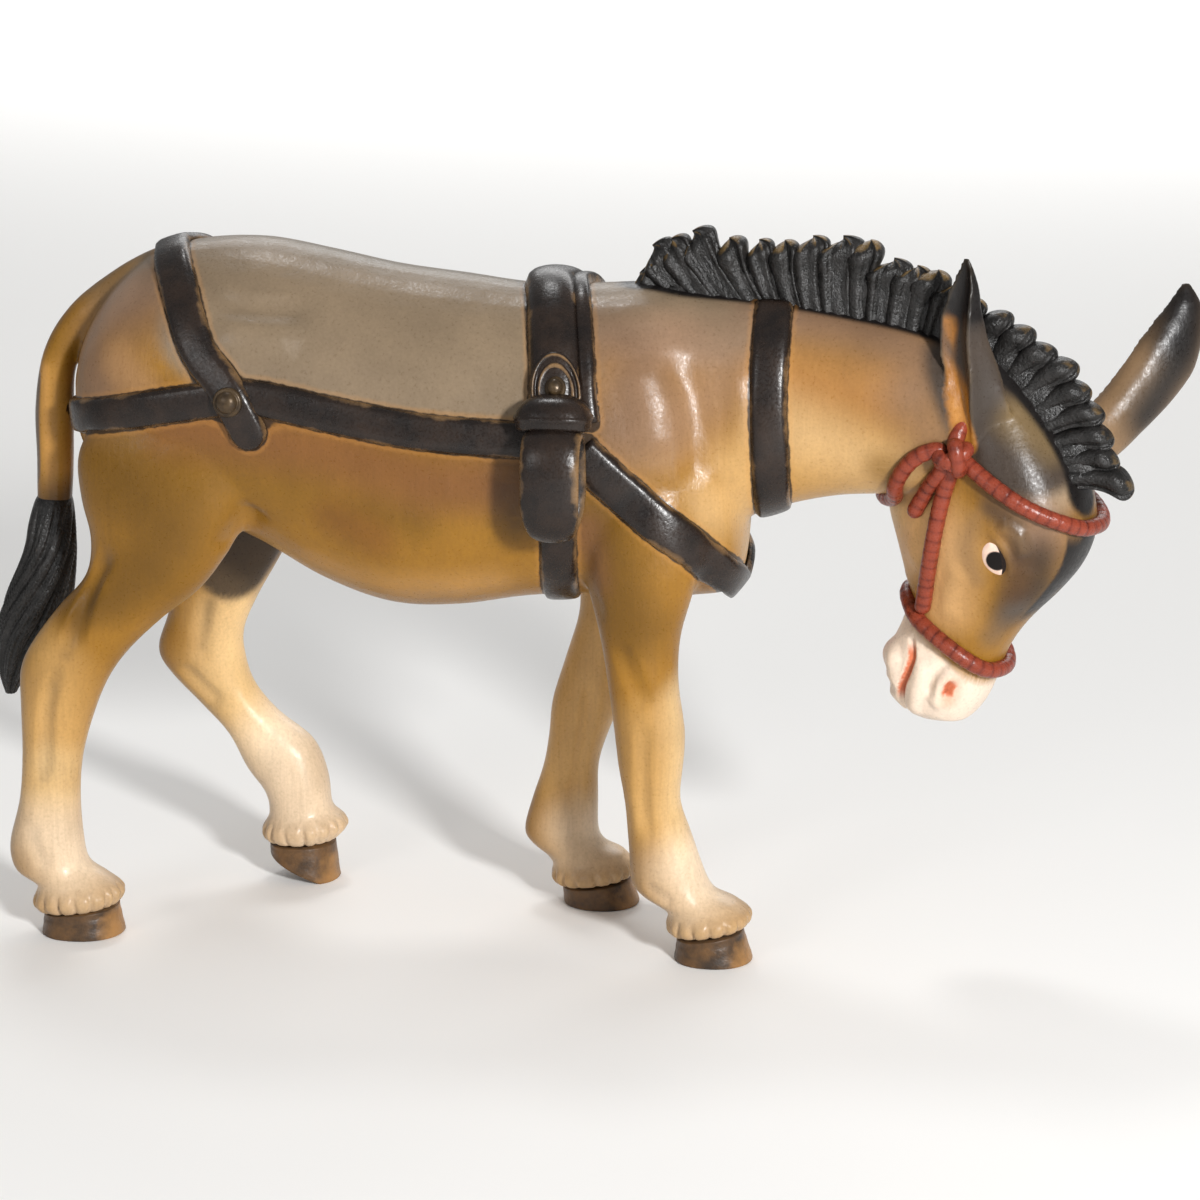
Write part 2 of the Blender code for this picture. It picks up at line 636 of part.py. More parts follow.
def clear_lifts(skin, feet, outs, lifts, across):
    """The lifts, raised wherever the flat faces between the points would come too near the skin."""
    lifts = list(lifts)
    for _ in range(3):
        under = [foot + out * lift for foot, out, lift in zip(feet, outs, lifts)]
        for i in range(len(feet) - across):
            corners = [i, i + across]
            if across > 1 and i % across < across - 1:
                corners += [i + 1, i + across + 1]
            for pair in ((0, 1), (0, 2), (1, 2), (0, 3)):
                if max(pair) >= len(corners):
                    continue
                one, two = (corners[p] for p in pair)
                middle = (under[one] + under[two]) / 2
                place, normal = skin.at(middle, 1.0)
                short = GAP + 0.04 - (middle - place).dot(normal)
                if short > 0:
                    lifts[one] = max(lifts[one], (under[one] - feet[one]).length + short)
                    lifts[two] = max(lifts[two], (under[two] - feet[two]).length + short)
    return lifts


def rope(name, skin, guides, step=3.1, closed=False, radius=ROPE_RADIUS, sides=6):
    path = laid_path(skin, guides, step, closed)
    feet, outs, extras = zip(*path)
    lifts = clear_lifts(skin, feet, outs, [LIFT + extra for extra in extras], 1)
    centres = [foot + out * (radius + lift) for foot, out, lift in zip(feet, outs, lifts)]
    rings = []
    for k, centre in enumerate(centres):
        before = centres[k - 1 if closed else max(k - 1, 0)]
        after = centres[(k + 1) % len(path) if closed else min(k + 1, len(path) - 1)]
        along = (after - before).normalized()
        out = path[k][1]
        side = along.cross(out).normalized()
        out = side.cross(along)
        rings.append([
            centre + (side * math.cos(a) + out * math.sin(a)) * radius
            for a in (2 * math.pi * j / sides for j in range(sides))
        ])
    return as_mesh(name, loft(rings, closed))


# ---------------------------------------------------------------- the cart harness
# Guides are on the animal's right side from the top or rear down or forward: x, y, z and extra lift.
HIP_STRAP = ((-63.4, 0.0, 105.0, 0.0), (-62.3, -5.0, 104.2, 0.0), (-58.5, -13.9, 98.4, 0.0),
             (-55.6, -17.3, 91.8, 0.2), (-51.8, -18.5, 87.4, 1.5), (-50.0, -18.7, 84.6, 1.7),
             (-48.4, -18.9, 81.4, 1.4), (-46.9, -19.0, 78.4, 0.2))
BREECHING = ((-77.0, 0.0, 79.4, 0.0), (-75.6, -8.0, 80.4, 0.0), (-71.9, -14.1, 81.2, 0.0),
             (-65.9, -16.9, 82.5, 0.0), (-56.6, -18.4, 84.3, 0.0), (-47.7, -18.7, 85.3, 0.0),
             (-36.1, -18.9, 83.2, 0.0), (-23.1, -19.0, 81.1, 0.0), (-11.4, -18.0, 80.2, 0.0))
BACKBAND = ((-7.2, 0.0, 99.9, 0.0), (-6.0, -5.9, 98.3, 0.0), (-4.4, -13.9, 91.0, 0.0),
            (-4.2, -15.8, 87.2, 0.0))
NARROW_BAND = ((-1.6, 0.0, 99.9, 0.0), (-0.6, -6.0, 98.4, 0.0), (1.0, -14.0, 90.5, 0.0),
               (1.6, -15.7, 85.7, 0.0), (3.4, -16.8, 81.0, 0.0))
GIRTH = ((-5.0, 0.0, 53.8, 0.0), (-4.4, -10.3, 56.6, 0.0), (-3.8, -16.0, 62.8, 0.0))
BREAST_STRAP = ((20.8, 0.0, 55.6, 0.0), (20.9, -5.7, 57.6, 0.0), (17.4, -12.0, 61.8, 0.0),
                (9.5, -16.7, 69.3, 0.0), (3.4, -17.0, 74.6, 0.0))
NECK_STRAP = ((25.8, 0.0, 67.6, 0.0), (26.0, -8.8, 72.0, 0.0), (25.5, -10.6, 85.4, 0.0),
              (25.6, -8.0, 92.0, 0.0), (25.6, -4.8, 96.4, 0.0))
STRAPS = {
    # name: guides, width and thickness
    "hip_strap": (HIP_STRAP, 5.4, 1.0),
    "breeching": (BREECHING, 5.2, 1.0),
    "backband": (BACKBAND, 7.4, 1.9),
    "backband_narrow": (NARROW_BAND, 2.4, 1.0),
    "girth": (GIRTH, 5.2, 1.0),
    "breast_strap": (BREAST_STRAP, 5.8, 1.0),
    "neck_strap": (NECK_STRAP, 5.4, 1.0),
}

TUG_MIDDLE = (-3.5, -23.2, 74.0)     # of the shaft loop on the right
TUG_WIDTH = 8.7
TUG_OUTER = (4.7, 8.4)               # half axes of the loop's outside, across and up
TUG_HOLE = (2.7, 5.9)
COLLAR_MIDDLE = (-3.7, -20.6, 84.8)
COLLAR_HALF = (5.9, 3.4)
COLLAR_HEIGHT = 4.0
RIVET_RADIUS = 1.5


def both_sides(guides):
    """The guides of one side and their mirror images, as one route from left to right."""
    middle = [guides[0]] if guides[0][1] == 0 else []
    rest = guides[1:] if middle else guides
    return mirrored(rest)[::-1] + middle + list(rest)


def ellipse(half_across, half_up, sides, power=2.4):
    found = []
    for k in range(sides):
        turn = 2 * math.pi * (k + 0.5) / sides
        found.append((
            half_across * math.copysign(abs(math.cos(turn)) ** (2 / power), math.cos(turn)),
            half_up * math.copysign(abs(math.sin(turn)) ** (2 / power), math.sin(turn)),
        ))
    return found


def tug(name, side):
    """A thick oval loop of leather, open along X, its rim rounded off."""
    x, y, z = TUG_MIDDLE
    sides = 20
    outer, hole = ellipse(*TUG_OUTER, sides), ellipse(*TUG_HOLE, sides)
    rings = []
    for k in range(sides):
        (oy, oz), (hy, hz) = outer[k], hole[k]
        profile = ((-0.5, 0.25), (-0.38, 1.0), (0.38, 1.0), (0.5, 0.25), (0.5, 0.0), (-0.5, 0.0))
        rings.append([
            (x + TUG_WIDTH * px, side * (-y + hy + share * (oy - hy)), z + hz + share * (oz - hz))
            for px, share in profile
        ])
    return as_mesh(name, loft(rings, closed=True))


def collar(name, side):
    """The keeper round the top of the tug: a low drum, fuller outwards."""
    x, y, z = COLLAR_MIDDLE
    rings = []
    for share, full in ((-0.5, 0.86), (-0.25, 1.0), (0.25, 1.0), (0.5, 0.86)):
        rings.append([
            (x + full * px, side * -(y - full * py), z + share * COLLAR_HEIGHT)
            for px, py in ellipse(*COLLAR_HALF, 18, 3.0)
        ])
    return as_mesh(name, loft(rings))


def rivet(name, skin, place, side, radius=RIVET_RADIUS, height=0.9):
    """A domed stud with its flat foot at the height given by place's lift above the skin."""
    x, z, lift = place
    foot = skin.from_side(x, z, side)
    normal = skin.at(foot, 4.0)[1]
    bm = bmesh.new()
    bmesh.ops.create_cone(bm, cap_ends=True, segments=14, radius1=radius, radius2=radius * 0.5,
                          depth=height)
    bm.transform(Matrix.Translation((0, 0, height / 2)))
    facing = normal.to_track_quat("Z", "Y").to_matrix().to_4x4()
    bm.transform(Matrix.Translation(foot + normal * lift) @ facing)
    return as_mesh(name, bm)


TAB_LOW = (-3.8, 86.9)
TAB_HIGH = (-4.5, 93.0)
TAB_WIDTH = 5.6
TAB_LIFT = 1.9 + GAP


def tab(name, skin, side):
    """The round-topped tab over the backband, above the collar."""
    rings = []
    for share, full in ((0.0, 1.0), (0.35, 1.0), (0.65, 0.88), (0.85, 0.62), (1.0, 0.25)):
        x = TAB_LOW[0] + share * (TAB_HIGH[0] - TAB_LOW[0])
        z = TAB_LOW[1] + share * (TAB_HIGH[1] - TAB_LOW[1])
        under, over = [], []
        for across in (-0.5, 0.0, 0.5):
            foot = skin.from_side(x + across * TAB_WIDTH * full, z, side)
            out = skin.at(foot, 4.0)[1]
            under.append(foot + out * (LIFT + TAB_LIFT))
            over.append(foot + out * (LIFT + TAB_LIFT + 0.9))
        rings.append(under + over[::-1])
    return as_mesh(name, loft(rings))


# ---------------------------------------------------------------- the rope halter
# In the head's plane, on its right side: forward, to the right and along, and extra lift.
KNOT = (-5.4, 11.2, 37.6)
KNOT_RADIUS = 2.0
BROWBAND = ((13.3, 0.0, 32.7, 0.0), (12.5, 4.3, 32.8, 0.0), (6.8, 9.0, 33.9, 0.0),
            (0.8, 10.2, 35.5, 0.0), (-2.6, 10.6, 36.6, 0.0))
NOSEBAND = ((7.9, 0.0, 8.2, 0.0), (6.4, 3.7, 8.3, 0.0), (2.2, 6.6, 10.0, 0.0),
            (-2.9, 6.3, 11.3, 0.0), (-7.3, 4.5, 12.7, 0.0), (-9.2, 0.0, 13.6, 0.0))
CHEEKPIECE = ((-4.9, 9.8, 34.4, 0.0), (-4.8, 9.8, 29.0, 0.0), (-4.4, 8.8, 22.6, 0.0),
              (-4.1, 6.9, 17.0, 0.0), (-3.6, 6.3, 14.2, 0.0))
THROATLATCH = ((-8.3, 12.4, 37.2, 0.0), (-10.5, 13.0, 34.4, 0.0), (-12.4, 11.0, 29.8, 0.0),
               (-15.0, 0.0, 27.4, 0.0))
LOOSE_END = ((-7.7, 10.0, 33.4, 0.0), (-7.8, 9.4, 29.6, 0.0), (-8.4, 8.6, 25.6, 0.0))


def head_guides(guides, side):
    """Guides in the figure's axes, side being -1 for the animal's right."""
    return [(*in_head(f, side * w, s), extra) for f, w, s, extra in guides]


def across_head(guides):
    """One route over both sides of the head, from the left to the right."""
    return head_guides(guides, 1)[::-1][:-1] + head_guides(guides, -1)


def round_head(guides):
    """A closed route whose first and last guides are on the head's middle plane."""
    return head_guides(guides, -1) + head_guides(guides[1:-1], 1)[::-1]


def knot(name, skin, side):
    place, normal = skin.at(in_head(KNOT[0], side * KNOT[1], KNOT[2]))
    bm = bmesh.new()
    bmesh.ops.create_icosphere(bm, subdivisions=2, radius=KNOT_RADIUS)
    bm.transform(Matrix.Translation(place + normal * (KNOT_RADIUS * 0.8 + LIFT)))
    return as_mesh(name, bm)


# ---------------------------------------------------------------- the whole figure
def level_sole(bm):
    """Cuts away all below the floor, so that the hoof stands on a flat."""
    geometry = bm.verts[:] + bm.edges[:] + bm.faces[:]
    cut = bmesh.ops.bisect_plane(bm, geom=geometry, plane_co=(0, 0, FLOOR), plane_no=(0, 0, -1),
                                 clear_outer=True)
    edges = [item for item in cut["geom_cut"] if isinstance(item, bmesh.types.BMEdge)]
    if edges:
        bmesh.ops.edgeloop_fill(bm, edges=edges)
    return bm


def hooves():
    return {name: as_mesh(name, level_sole(loft(station_rings(stations, 3.0, 16))))
            for name, stations in HOOVES.items()}


def harness(skin):
    found = {}
    for name, (guides, width, thickness) in STRAPS.items():
        found[name] = strap(name, skin, both_sides(guides), width, thickness)
    for word, side in (("right", -1), ("left", 1)):
        found[f"tug_{word}"] = tug(f"tug_{word}", side)
        found[f"tug_collar_{word}"] = collar(f"tug_collar_{word}", side)
        found[f"tug_tab_{word}"] = tab(f"tug_tab_{word}", skin, side)
        found[f"tab_stud_{word}"] = rivet(f"tab_stud_{word}", skin, (-4.0, 87.8, 3.9), side, 1.1)
        found[f"hip_rivet_{word}"] = rivet(f"hip_rivet_{word}", skin, (-50.4, 85.0, 3.3), side)
    return found


def halter(skin):
    found = {
        "browband": rope("browband", skin, across_head(BROWBAND)),
        "noseband": rope("noseband", skin, round_head(NOSEBAND), closed=True),
        "throatlatch": rope("throatlatch", skin, across_head(THROATLATCH[::-1])),
    }
    for word, side in (("right", -1), ("left", 1)):
        found[f"knot_{word}"] = knot(f"knot_{word}", skin, side)
        for base, guides in (("cheekpiece", CHEEKPIECE), ("loose_end", LOOSE_END)):
            name = f"{base}_{word}"
            found[name] = rope(name, skin, head_guides(guides, side))
    return found


def grown_skin(body, cutters):
    """The body made larger by the gap, which cuts what grows out of it."""
    grown = body.copy()
    grown.data = body.data.copy()
    grown.name = "grown_skin"
    grown.hide_render = True
    grown.display_type = "WIRE"
    cutters.objects.link(grown)
    modifier(grown, "DISPLACE", strength=GAP + 0.05, mid_level=0.0)
    return grown


def growths(grown):
    """Ears, eyes, mane and tail, each cut clear of the skin."""
    last = LOCKS - FORELOCK_LOCKS
    found = {name: ear(name, shape) for name, shape in EARS.items()}
    found["eye_right"], found["eye_left"] = eye("eye_right", -1), eye("eye_left", 1)
    found["mane"] = as_mesh("mane", loft(mane_rings(0, last)))
    found["forelock"] = as_mesh("forelock", loft(mane_rings(last, LOCKS)))
    found["tail_dock"] = as_mesh("tail_dock", loft(station_rings(TAIL_DOCK, 3.4, 12)))
    found = {name: trimmed(obj, grown) for name, obj in found.items()}
    found["tail_tassel"] = as_mesh("tail_tassel", loft(station_rings(TAIL_TASSEL, 3.4, 12)))
    return found


FINISHES = {
    # the start of a node's name: finish, colour, roughness
    "hoof": ("brown_stained_hoof", "#4a3a30", 0.5),
    "leg": ("pale_maple", "#d9b883", 0.45),
    "trunk": ("stained_maple", "#9b7243", 0.45),
    "neck": ("stained_maple", "#9b7243", 0.45),
    "head": ("stained_maple", "#9b7243", 0.45),
    "ear": ("grey_brown_stain", "#5c4c3e", 0.45),
    "eye": ("black_lacquer", "#14110f", 0.2),
    "mane": ("black_stain", "#25221f", 0.4),
    "forelock": ("black_stain", "#25221f", 0.4),
    "tail_dock": ("grey_brown_stain", "#5c4c3e", 0.45),
    "tail_tassel": ("black_stain", "#25221f", 0.4),
    "tab_stud": ("aged_brass_paint", "#7a5a34", 0.4),
    "hip_rivet": ("aged_brass_paint", "#7a5a34", 0.4),
}
LEATHER = ("dark_leather_paint", "#2e2521", 0.4)
ROPE = ("red_rope_paint", "#7e3428", 0.45)
ROPE_NODES = ("browband", "noseband", "throatlatch", "knot", "cheekpiece", "loose_end")


def finish_of(name):
    if name.startswith(ROPE_NODES):
        return ROPE
    return next((found for start, found in FINISHES.items() if name.startswith(start)), LEATHER)


def build_object():
    for old in list(bpy.data.objects):
        bpy.data.objects.remove(old)
    figure = fresh_collection("wooden_donkey")
    cutters = fresh_collection("cutters")
    cutters.hide_render = True
    body = blended_body(cutters)
    body.hide_render = True
    body.display_type = "WIRE"
    skin = Skin(body)
    grown = grown_skin(body, cutters)
    nodes = {**growths(grown), **part_body(body, cutters), **hooves(), **harness(skin), **halter(skin)}
    to_place = Matrix.Scale(TO_METRES, 4) @ Matrix.Translation(-Vector(ORIGIN))
    materials = {}
    for name, obj in nodes.items():
        obj.name = name
        obj.data.name = name
        obj.data.transform(to_place)
        key, colour, roughness = finish_of(name)
        if key not in materials:
            materials[key] = finish(key, colour, roughness)
        obj.data.materials.clear()
        obj.data.materials.append(materials[key])
        figure.objects.link(obj)
    for helper in list(cutters.objects):
        helper.data.transform(to_place)


build_object()
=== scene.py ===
"""A carved and painted wooden donkey in cart harness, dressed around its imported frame.

The figure is one piece of maple. Its masses are lofts run together, cut with gouges for muscles, face
and hoof tufts, airbrushed with stain and sealed with satin varnish. Shapes are drawn in millimetres,
+X towards the head, +Y the animal's left and +Z up, and are placed in the frame, in metres, last.
"""

import json
import logging
import math
from dataclasses import dataclass, field
from enum import Enum
from typing import Iterable, Iterator

import bpy
import numpy as np
from bpy.types import Material, Modifier, Node, NodeSocket, NodeTree, Object
from mathutils import Matrix, Vector
from mathutils.bvhtree import BVHTree

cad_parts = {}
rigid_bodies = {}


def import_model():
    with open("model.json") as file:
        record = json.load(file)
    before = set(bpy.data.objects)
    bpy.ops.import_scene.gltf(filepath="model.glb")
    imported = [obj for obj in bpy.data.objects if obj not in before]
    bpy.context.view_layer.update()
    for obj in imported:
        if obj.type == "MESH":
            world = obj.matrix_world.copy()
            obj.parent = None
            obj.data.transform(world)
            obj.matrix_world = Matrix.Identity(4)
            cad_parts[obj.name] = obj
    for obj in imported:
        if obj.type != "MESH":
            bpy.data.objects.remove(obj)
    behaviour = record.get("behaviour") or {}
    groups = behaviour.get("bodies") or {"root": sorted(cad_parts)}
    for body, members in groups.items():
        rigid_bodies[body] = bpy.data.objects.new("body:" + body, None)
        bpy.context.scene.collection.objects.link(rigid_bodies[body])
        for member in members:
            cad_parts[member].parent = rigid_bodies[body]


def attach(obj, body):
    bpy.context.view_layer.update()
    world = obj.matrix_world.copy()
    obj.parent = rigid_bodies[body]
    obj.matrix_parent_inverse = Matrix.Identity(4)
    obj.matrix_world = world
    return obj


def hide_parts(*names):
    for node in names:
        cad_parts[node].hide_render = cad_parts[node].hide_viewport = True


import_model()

LOG = logging.getLogger("wooden_donkey")

MM = 0.001
ORIGIN = np.array((-3, 0, 2))   # where the frame's origin lies in the drawing
RIGHT, LEFT = -1, 1                   # the sign of y on each side of the animal
SIDES = {"right": RIGHT, "left": LEFT}

Place = tuple[float, float, float]
Route = tuple[Place, ...]


# ---------------------------------------------------------------- curves, lofts and meshes
def smooth_rows(rows: Iterable, step: float, closed: bool = False) -> np.ndarray:
    """Rows along a Catmull-Rom curve.

    Args:
        rows: The rows that the curve goes through; its length is measured in their first three columns.
        step: The distance wanted between neighbouring rows, in millimetres.
        closed: Whether the curve comes back to its first row.

    Returns:
        The given rows with as many between them as the step asks for.
    """
    rows = np.array(rows, float)
    count = len(rows)
    found = []
    for i in range(count if closed else count - 1):
        around = [i - 1, i, i + 1, i + 2]
        around = [k % count if closed else min(max(k, 0), count - 1) for k in around]
        before, start, end, after = rows[around]
        parts = max(1, round(np.linalg.norm((end - start)[:3]) / step))
        for k in range(parts):
            t = k / parts
            found.append(0.5 * (
                2 * start
                + (end - before) * t
                + (2 * before - 5 * start + 4 * end - after) * t**2
                + (3 * start - before - 3 * end + after) * t**3
            ))
    if not closed:
        found.append(rows[-1])
    return np.array(found)


def smoothstep(values: np.ndarray, low: float = 0.0, high: float = 1.0) -> np.ndarray:
    """0 under low and 1 over high, with an S-shaped rise between them."""
    t = np.clip((values - low) / (high - low), 0.0, 1.0)
    return t * t * (3 - 2 * t)


def unit(vectors: np.ndarray) -> np.ndarray:
    """The vectors, in the last axis, at length 1."""
    return vectors / np.maximum(np.linalg.norm(vectors, axis=-1, keepdims=True), 1e-12)


def tangents(points: np.ndarray, closed: bool = False) -> np.ndarray:
    """The unit directions of a polyline at its points."""
    if closed:
        return unit(np.roll(points, -1, axis=0) - np.roll(points, 1, axis=0))
    return unit(np.gradient(points, axis=0))


def new_object(name: str, points: np.ndarray, faces: list, smooth: bool = True) -> Object:
    """An object of the given points and faces, linked to the scene.

    Args:
        name: The object's name.
        points: Its vertices, in the drawing's millimetres.
        faces: Its faces as tuples of vertex numbers.
        smooth: Whether its faces are shaded smooth.

    Returns:
        The new mesh object.
    """
    mesh = bpy.data.meshes.new(name)
    mesh.from_pydata(np.asarray(points, float).tolist(), [], faces)
    mesh.validate()
    if smooth:
        mesh.shade_smooth()
    obj = bpy.data.objects.new(name, mesh)
    bpy.context.scene.collection.objects.link(obj)
    return obj


def loft_faces(count: int, sides: int, closed: bool = False) -> list[tuple[int, ...]]:
    """The faces over count rings of sides points each, with ends unless the rings close on themselves.

    Args:
        count: How many rings there are.
        sides: How many points a ring has.
        closed: Whether the last ring is joined to the first.

    Returns:
        The faces, as tuples of point numbers.
    """
    faces = []
    for i in range(count if closed else count - 1):
        one, two = i * sides, ((i + 1) % count) * sides
        for k in range(sides):
            after = (k + 1) % sides
            faces.append((one + k, one + after, two + after, two + k))
    if not closed:
        faces.append(tuple(range(sides))[::-1])
        faces.append(tuple(range((count - 1) * sides, count * sides)))
    return faces


def loft(name: str, rings: np.ndarray, closed: bool = False) -> Object:
    """A closed skin over rings of equally many points, its faces outwards.

    Args:
        name: The object's name.
        rings: The rings, as an array of rings by points by 3.
        closed: Whether the last ring is joined to the first.

    Returns:
        The new mesh object.
    """
    rings = np.asarray(rings, float)
    count, sides = rings.shape[:2]
    obj = new_object(name, rings.reshape(-1, 3), loft_faces(count, sides, closed))
    turn_outwards(obj)
    return obj


def turn_outwards(obj: Object) -> None:
    """Turns a closed mesh's faces round if they point inwards.

    Args:
        obj: The mesh object.
    """
    mesh = obj.data
    mesh.calc_loop_triangles()
    points = points_of(obj)
    corners = np.empty(len(mesh.loop_triangles) * 3, np.int32)
    mesh.loop_triangles.foreach_get("vertices", corners)
    a, b, c = points[corners.reshape(-1, 3)].transpose(1, 0, 2)
    if (a * np.cross(b, c)).sum() < 0:
        mesh.flip_normals()


def points_of(obj: Object) -> np.ndarray:
    """The object's vertices as rows.

    Args:
        obj: The mesh object.

    Returns:
        One row of x, y and z for each vertex.
    """
    flat = np.empty(len(obj.data.vertices) * 3, np.float32)
    obj.data.vertices.foreach_get("co", flat)
    return flat.reshape(-1, 3).astype(float)


def set_points(obj: Object, points: np.ndarray) -> None:
    """Moves the object's vertices to the rows given."""
    obj.data.vertices.foreach_set("co", points.astype(np.float32).ravel())
    obj.data.update()


def normals_of(obj: Object) -> np.ndarray:
    """The object's vertex normals as rows.

    Args:
        obj: The mesh object.

    Returns:
        One unit row for each vertex.
    """
    flat = np.empty(len(obj.data.vertices) * 3, np.float32)
    obj.data.vertex_normals.foreach_get("vector", flat)
    return flat.reshape(-1, 3).astype(float)


def add_attribute(obj: Object, name: str, values: np.ndarray) -> None:
    """Keeps a number or a colour for each vertex, for the finish to read.

    Args:
        obj: The mesh object.
        name: What the attribute is called.
        values: One number or one colour for each vertex.
    """
    if values.ndim == 1:
        made = obj.data.attributes.new(name, "FLOAT", "POINT")
        made.data.foreach_set("value", values.astype(np.float32))
        return
    made = obj.data.attributes.new(name, "FLOAT_COLOR", "POINT")
    colours = np.concatenate([values, np.ones((len(values), 1))], axis=1)
    made.data.foreach_set("color", colours.astype(np.float32).ravel())


def add_modifier(obj: Object, kind: str, **settings: object) -> Modifier:
    """Adds a modifier of a kind with its settings.

    Args:
        obj: The object that gets it.
        kind: The type of modifier.
        **settings: Its settings by name.

    Returns:
        The new modifier.
    """
    made = obj.modifiers.new(kind.title(), kind)
    for name, value in settings.items():
        setattr(made, name, value)
    return made


def applied(obj: Object) -> Object:
    """The object with its modifiers turned into its mesh.

    Args:
        obj: The object, whose mesh is replaced.

    Returns:
        The same object.
    """
    bpy.context.view_layer.update()
    graph = bpy.context.evaluated_depsgraph_get()
    mesh = bpy.data.meshes.new_from_object(obj.evaluated_get(graph))
    obj.modifiers.clear()
    old = obj.data
    obj.data = mesh
    bpy.data.meshes.remove(old)
    return obj


def joined(name: str, parts: list[Object]) -> Object:
    """One object that holds all the parts' faces and attributes.

    Args:
        name: What the object is then called.
        parts: The objects, of which the first is kept.

    Returns:
        The kept object.
    """
    with bpy.context.temp_override(active_object=parts[0], selected_editable_objects=parts):
        bpy.ops.object.join()
    parts[0].name = name
    parts[0].data.name = name
    return parts[0]


# ---------------------------------------------------------------- the drawing of the body
@dataclass(frozen=True)
class Station:
    """One cross-section: low and high are (x, z) on its two edges, seen from the side."""

    low: tuple[float, float]
    high: tuple[float, float]
    half_width: float
    middle_y: float = 0.0
    widest: float = 0.5
    power: float = 2.2

    def row(self) -> tuple[float, ...]:
        """The numbers that are blended between stations, the section's middle first."""
        middle = ((self.low[0] + self.high[0]) / 2, (self.low[1] + self.high[1]) / 2, self.middle_y)
        return (*middle, *self.low, *self.high, self.half_width, self.middle_y, self.widest, self.power)


def sections(*rows: tuple[float, ...]) -> tuple[Station, ...]:
    """Stations from rows of low x and z, high x and z, and then the station's other numbers in order."""
    return tuple(Station(row[:2], row[2:4], *row[4:]) for row in rows)


def station_rings(stations: Iterable[Station], step: float, sides: int) -> np.ndarray:
    """The rings of a loft through stations.

    Args:
        stations: The sections that the loft goes through.
        step: The distance between rings, in millimetres.
        sides: The number of points in a ring.

    Returns:
        An array of rings by points by 3.
    """
    rows = smooth_rows([s.row() for s in stations], step)
    low_x, low_z, high_x, high_z, half_width, middle_y, widest, power = rows[:, 3:].T[:, :, None]
    turn = np.linspace(0, 2 * math.pi, sides, endpoint=False)[None, :]
    across = np.sign(np.cos(turn)) * np.abs(np.cos(turn)) ** (2 / power)
    up = np.sign(np.sin(turn)) * np.abs(np.sin(turn)) ** (2 / power)
    share = widest + up * np.where(up > 0, 1 - widest, widest)
    return np.stack([
        low_x + share * (high_x - low_x),
        middle_y + half_width * across,
        low_z + share * (high_z - low_z),
    ], axis=2)


@dataclass(frozen=True)
class HeadFrame:
    """Where the lowered head points: its own axes are forward, left and along from the muzzle."""

    pivot: Place = (50.4, -1.5, 41)
    lean: float = math.radians(17)
    turn: float = math.radians(25)
    roll: float = math.radians(3)

    def axes(self) -> np.ndarray:
        """The head's axes as the columns of a 3 by 3 array."""
        turn = Matrix.Rotation(-self.turn, 3, "Z")
        lean = Matrix.Rotation(self.lean, 3, "Y")
        roll = Matrix.Rotation(-self.roll, 3, "X")
        return np.array(turn @ lean @ roll)

    def out(self, points: Iterable) -> np.ndarray:
        """Points in the head's axes as points of the drawing."""
        return np.asarray(points, float) @ self.axes().T + np.array(self.pivot)


HEAD_FRAME = HeadFrame()

TRUNK = sections(
    (-77.4, 80, -77.6, 87, 5),
    (-76.2, 74, -75.4, 92.6, 10.5),
    (-73, 70, -71.5, 98.6, 14),
    (-68, 67, -66.5, 102.8, 16.6, 0, 0.46),
    (-60, 65, -60, 105.2, 18.2, 0, 0.44),
    (-50, 61, -50, 105.8, 19, 0, 0.45),
    (-40, 55.4, -40, 104.2, 19.3, 0, 0.45),
    (-30, 52.2, -30, 102.2, 19.8, 0, 0.42),
    (-20, 52.2, -20, 101, 19.6, 0, 0.42),
    (-10, 53.8, -10, 99.8, 18.6, 0, 0.42),
    (0, 54.4, 0, 100, 17.4, 0, 0.42),
    (8, 54, 8, 100.2, 16.4, 0, 0.40),
    (15, 54.6, 14.5, 98, 14.4, 0, 0.36),
    (19.6, 55.4, 19, 92, 11.8, 0, 0.34),
    (21.4, 58.4, 21.4, 82, 8, 0, 0.34),
    (21.9, 62.5, 22.4, 72, 3.6),
)
NECK = sections(
    (-2, 62, -6, 97, 9, 0, 0.4),
    (9, 63, 6, 99.9, 12.4, 0, 0.35),
    (18, 65, 15, 99.3, 12.2, 0, 0.35),
    (27, 68.2, 25, 98.6, 10.6, -0.4, 0.38),
    (35, 70.2, 34, 97.4, 9.4, -1.6, 0.42),
    (42, 71, 43, 95.9, 8.8, -3.2, 0.45),
    (48, 72, 50.5, 94, 8.4, -4.6, 0.48),
    (53, 74, 56, 91, 7.2, -5.4, 0.5),
)
# In the head's own plane: the first number is forward of its axis, the second along it from the muzzle.
HEAD = sections(
    (-4.2, -4.2, 1.2, -4, 2.6),
    (-7.2, -2.6, 5, -2.4, 5),
    (-8.8, 1.4, 6.9, 1.8, 6.9, 0, 0.55),
    (-9, 5, 7.2, 6, 7.2, 0, 0.55),
    (-8.6, 9.5, 7.6, 11, 6.7, 0, 0.55),
    (-10.2, 14.5, 9.2, 16, 7, 0, 0.55),
    (-13.4, 19.5, 11.9, 21.5, 8.6, 0, 0.55),
    (-17, 25, 13.8, 27, 9.9, 0, 0.58),
    (-17.8, 31, 13.6, 32.5, 10.4, 0, 0.58),
    (-17, 37, 10.4, 38, 10.2, 0, 0.55),
    (-15.2, 42, 5.6, 43, 9.4, 0, 0.52),
    (-13, 47, 0.2, 47.5, 8),
    (-11, 50.5, -4.7, 50.8, 5.2),
)
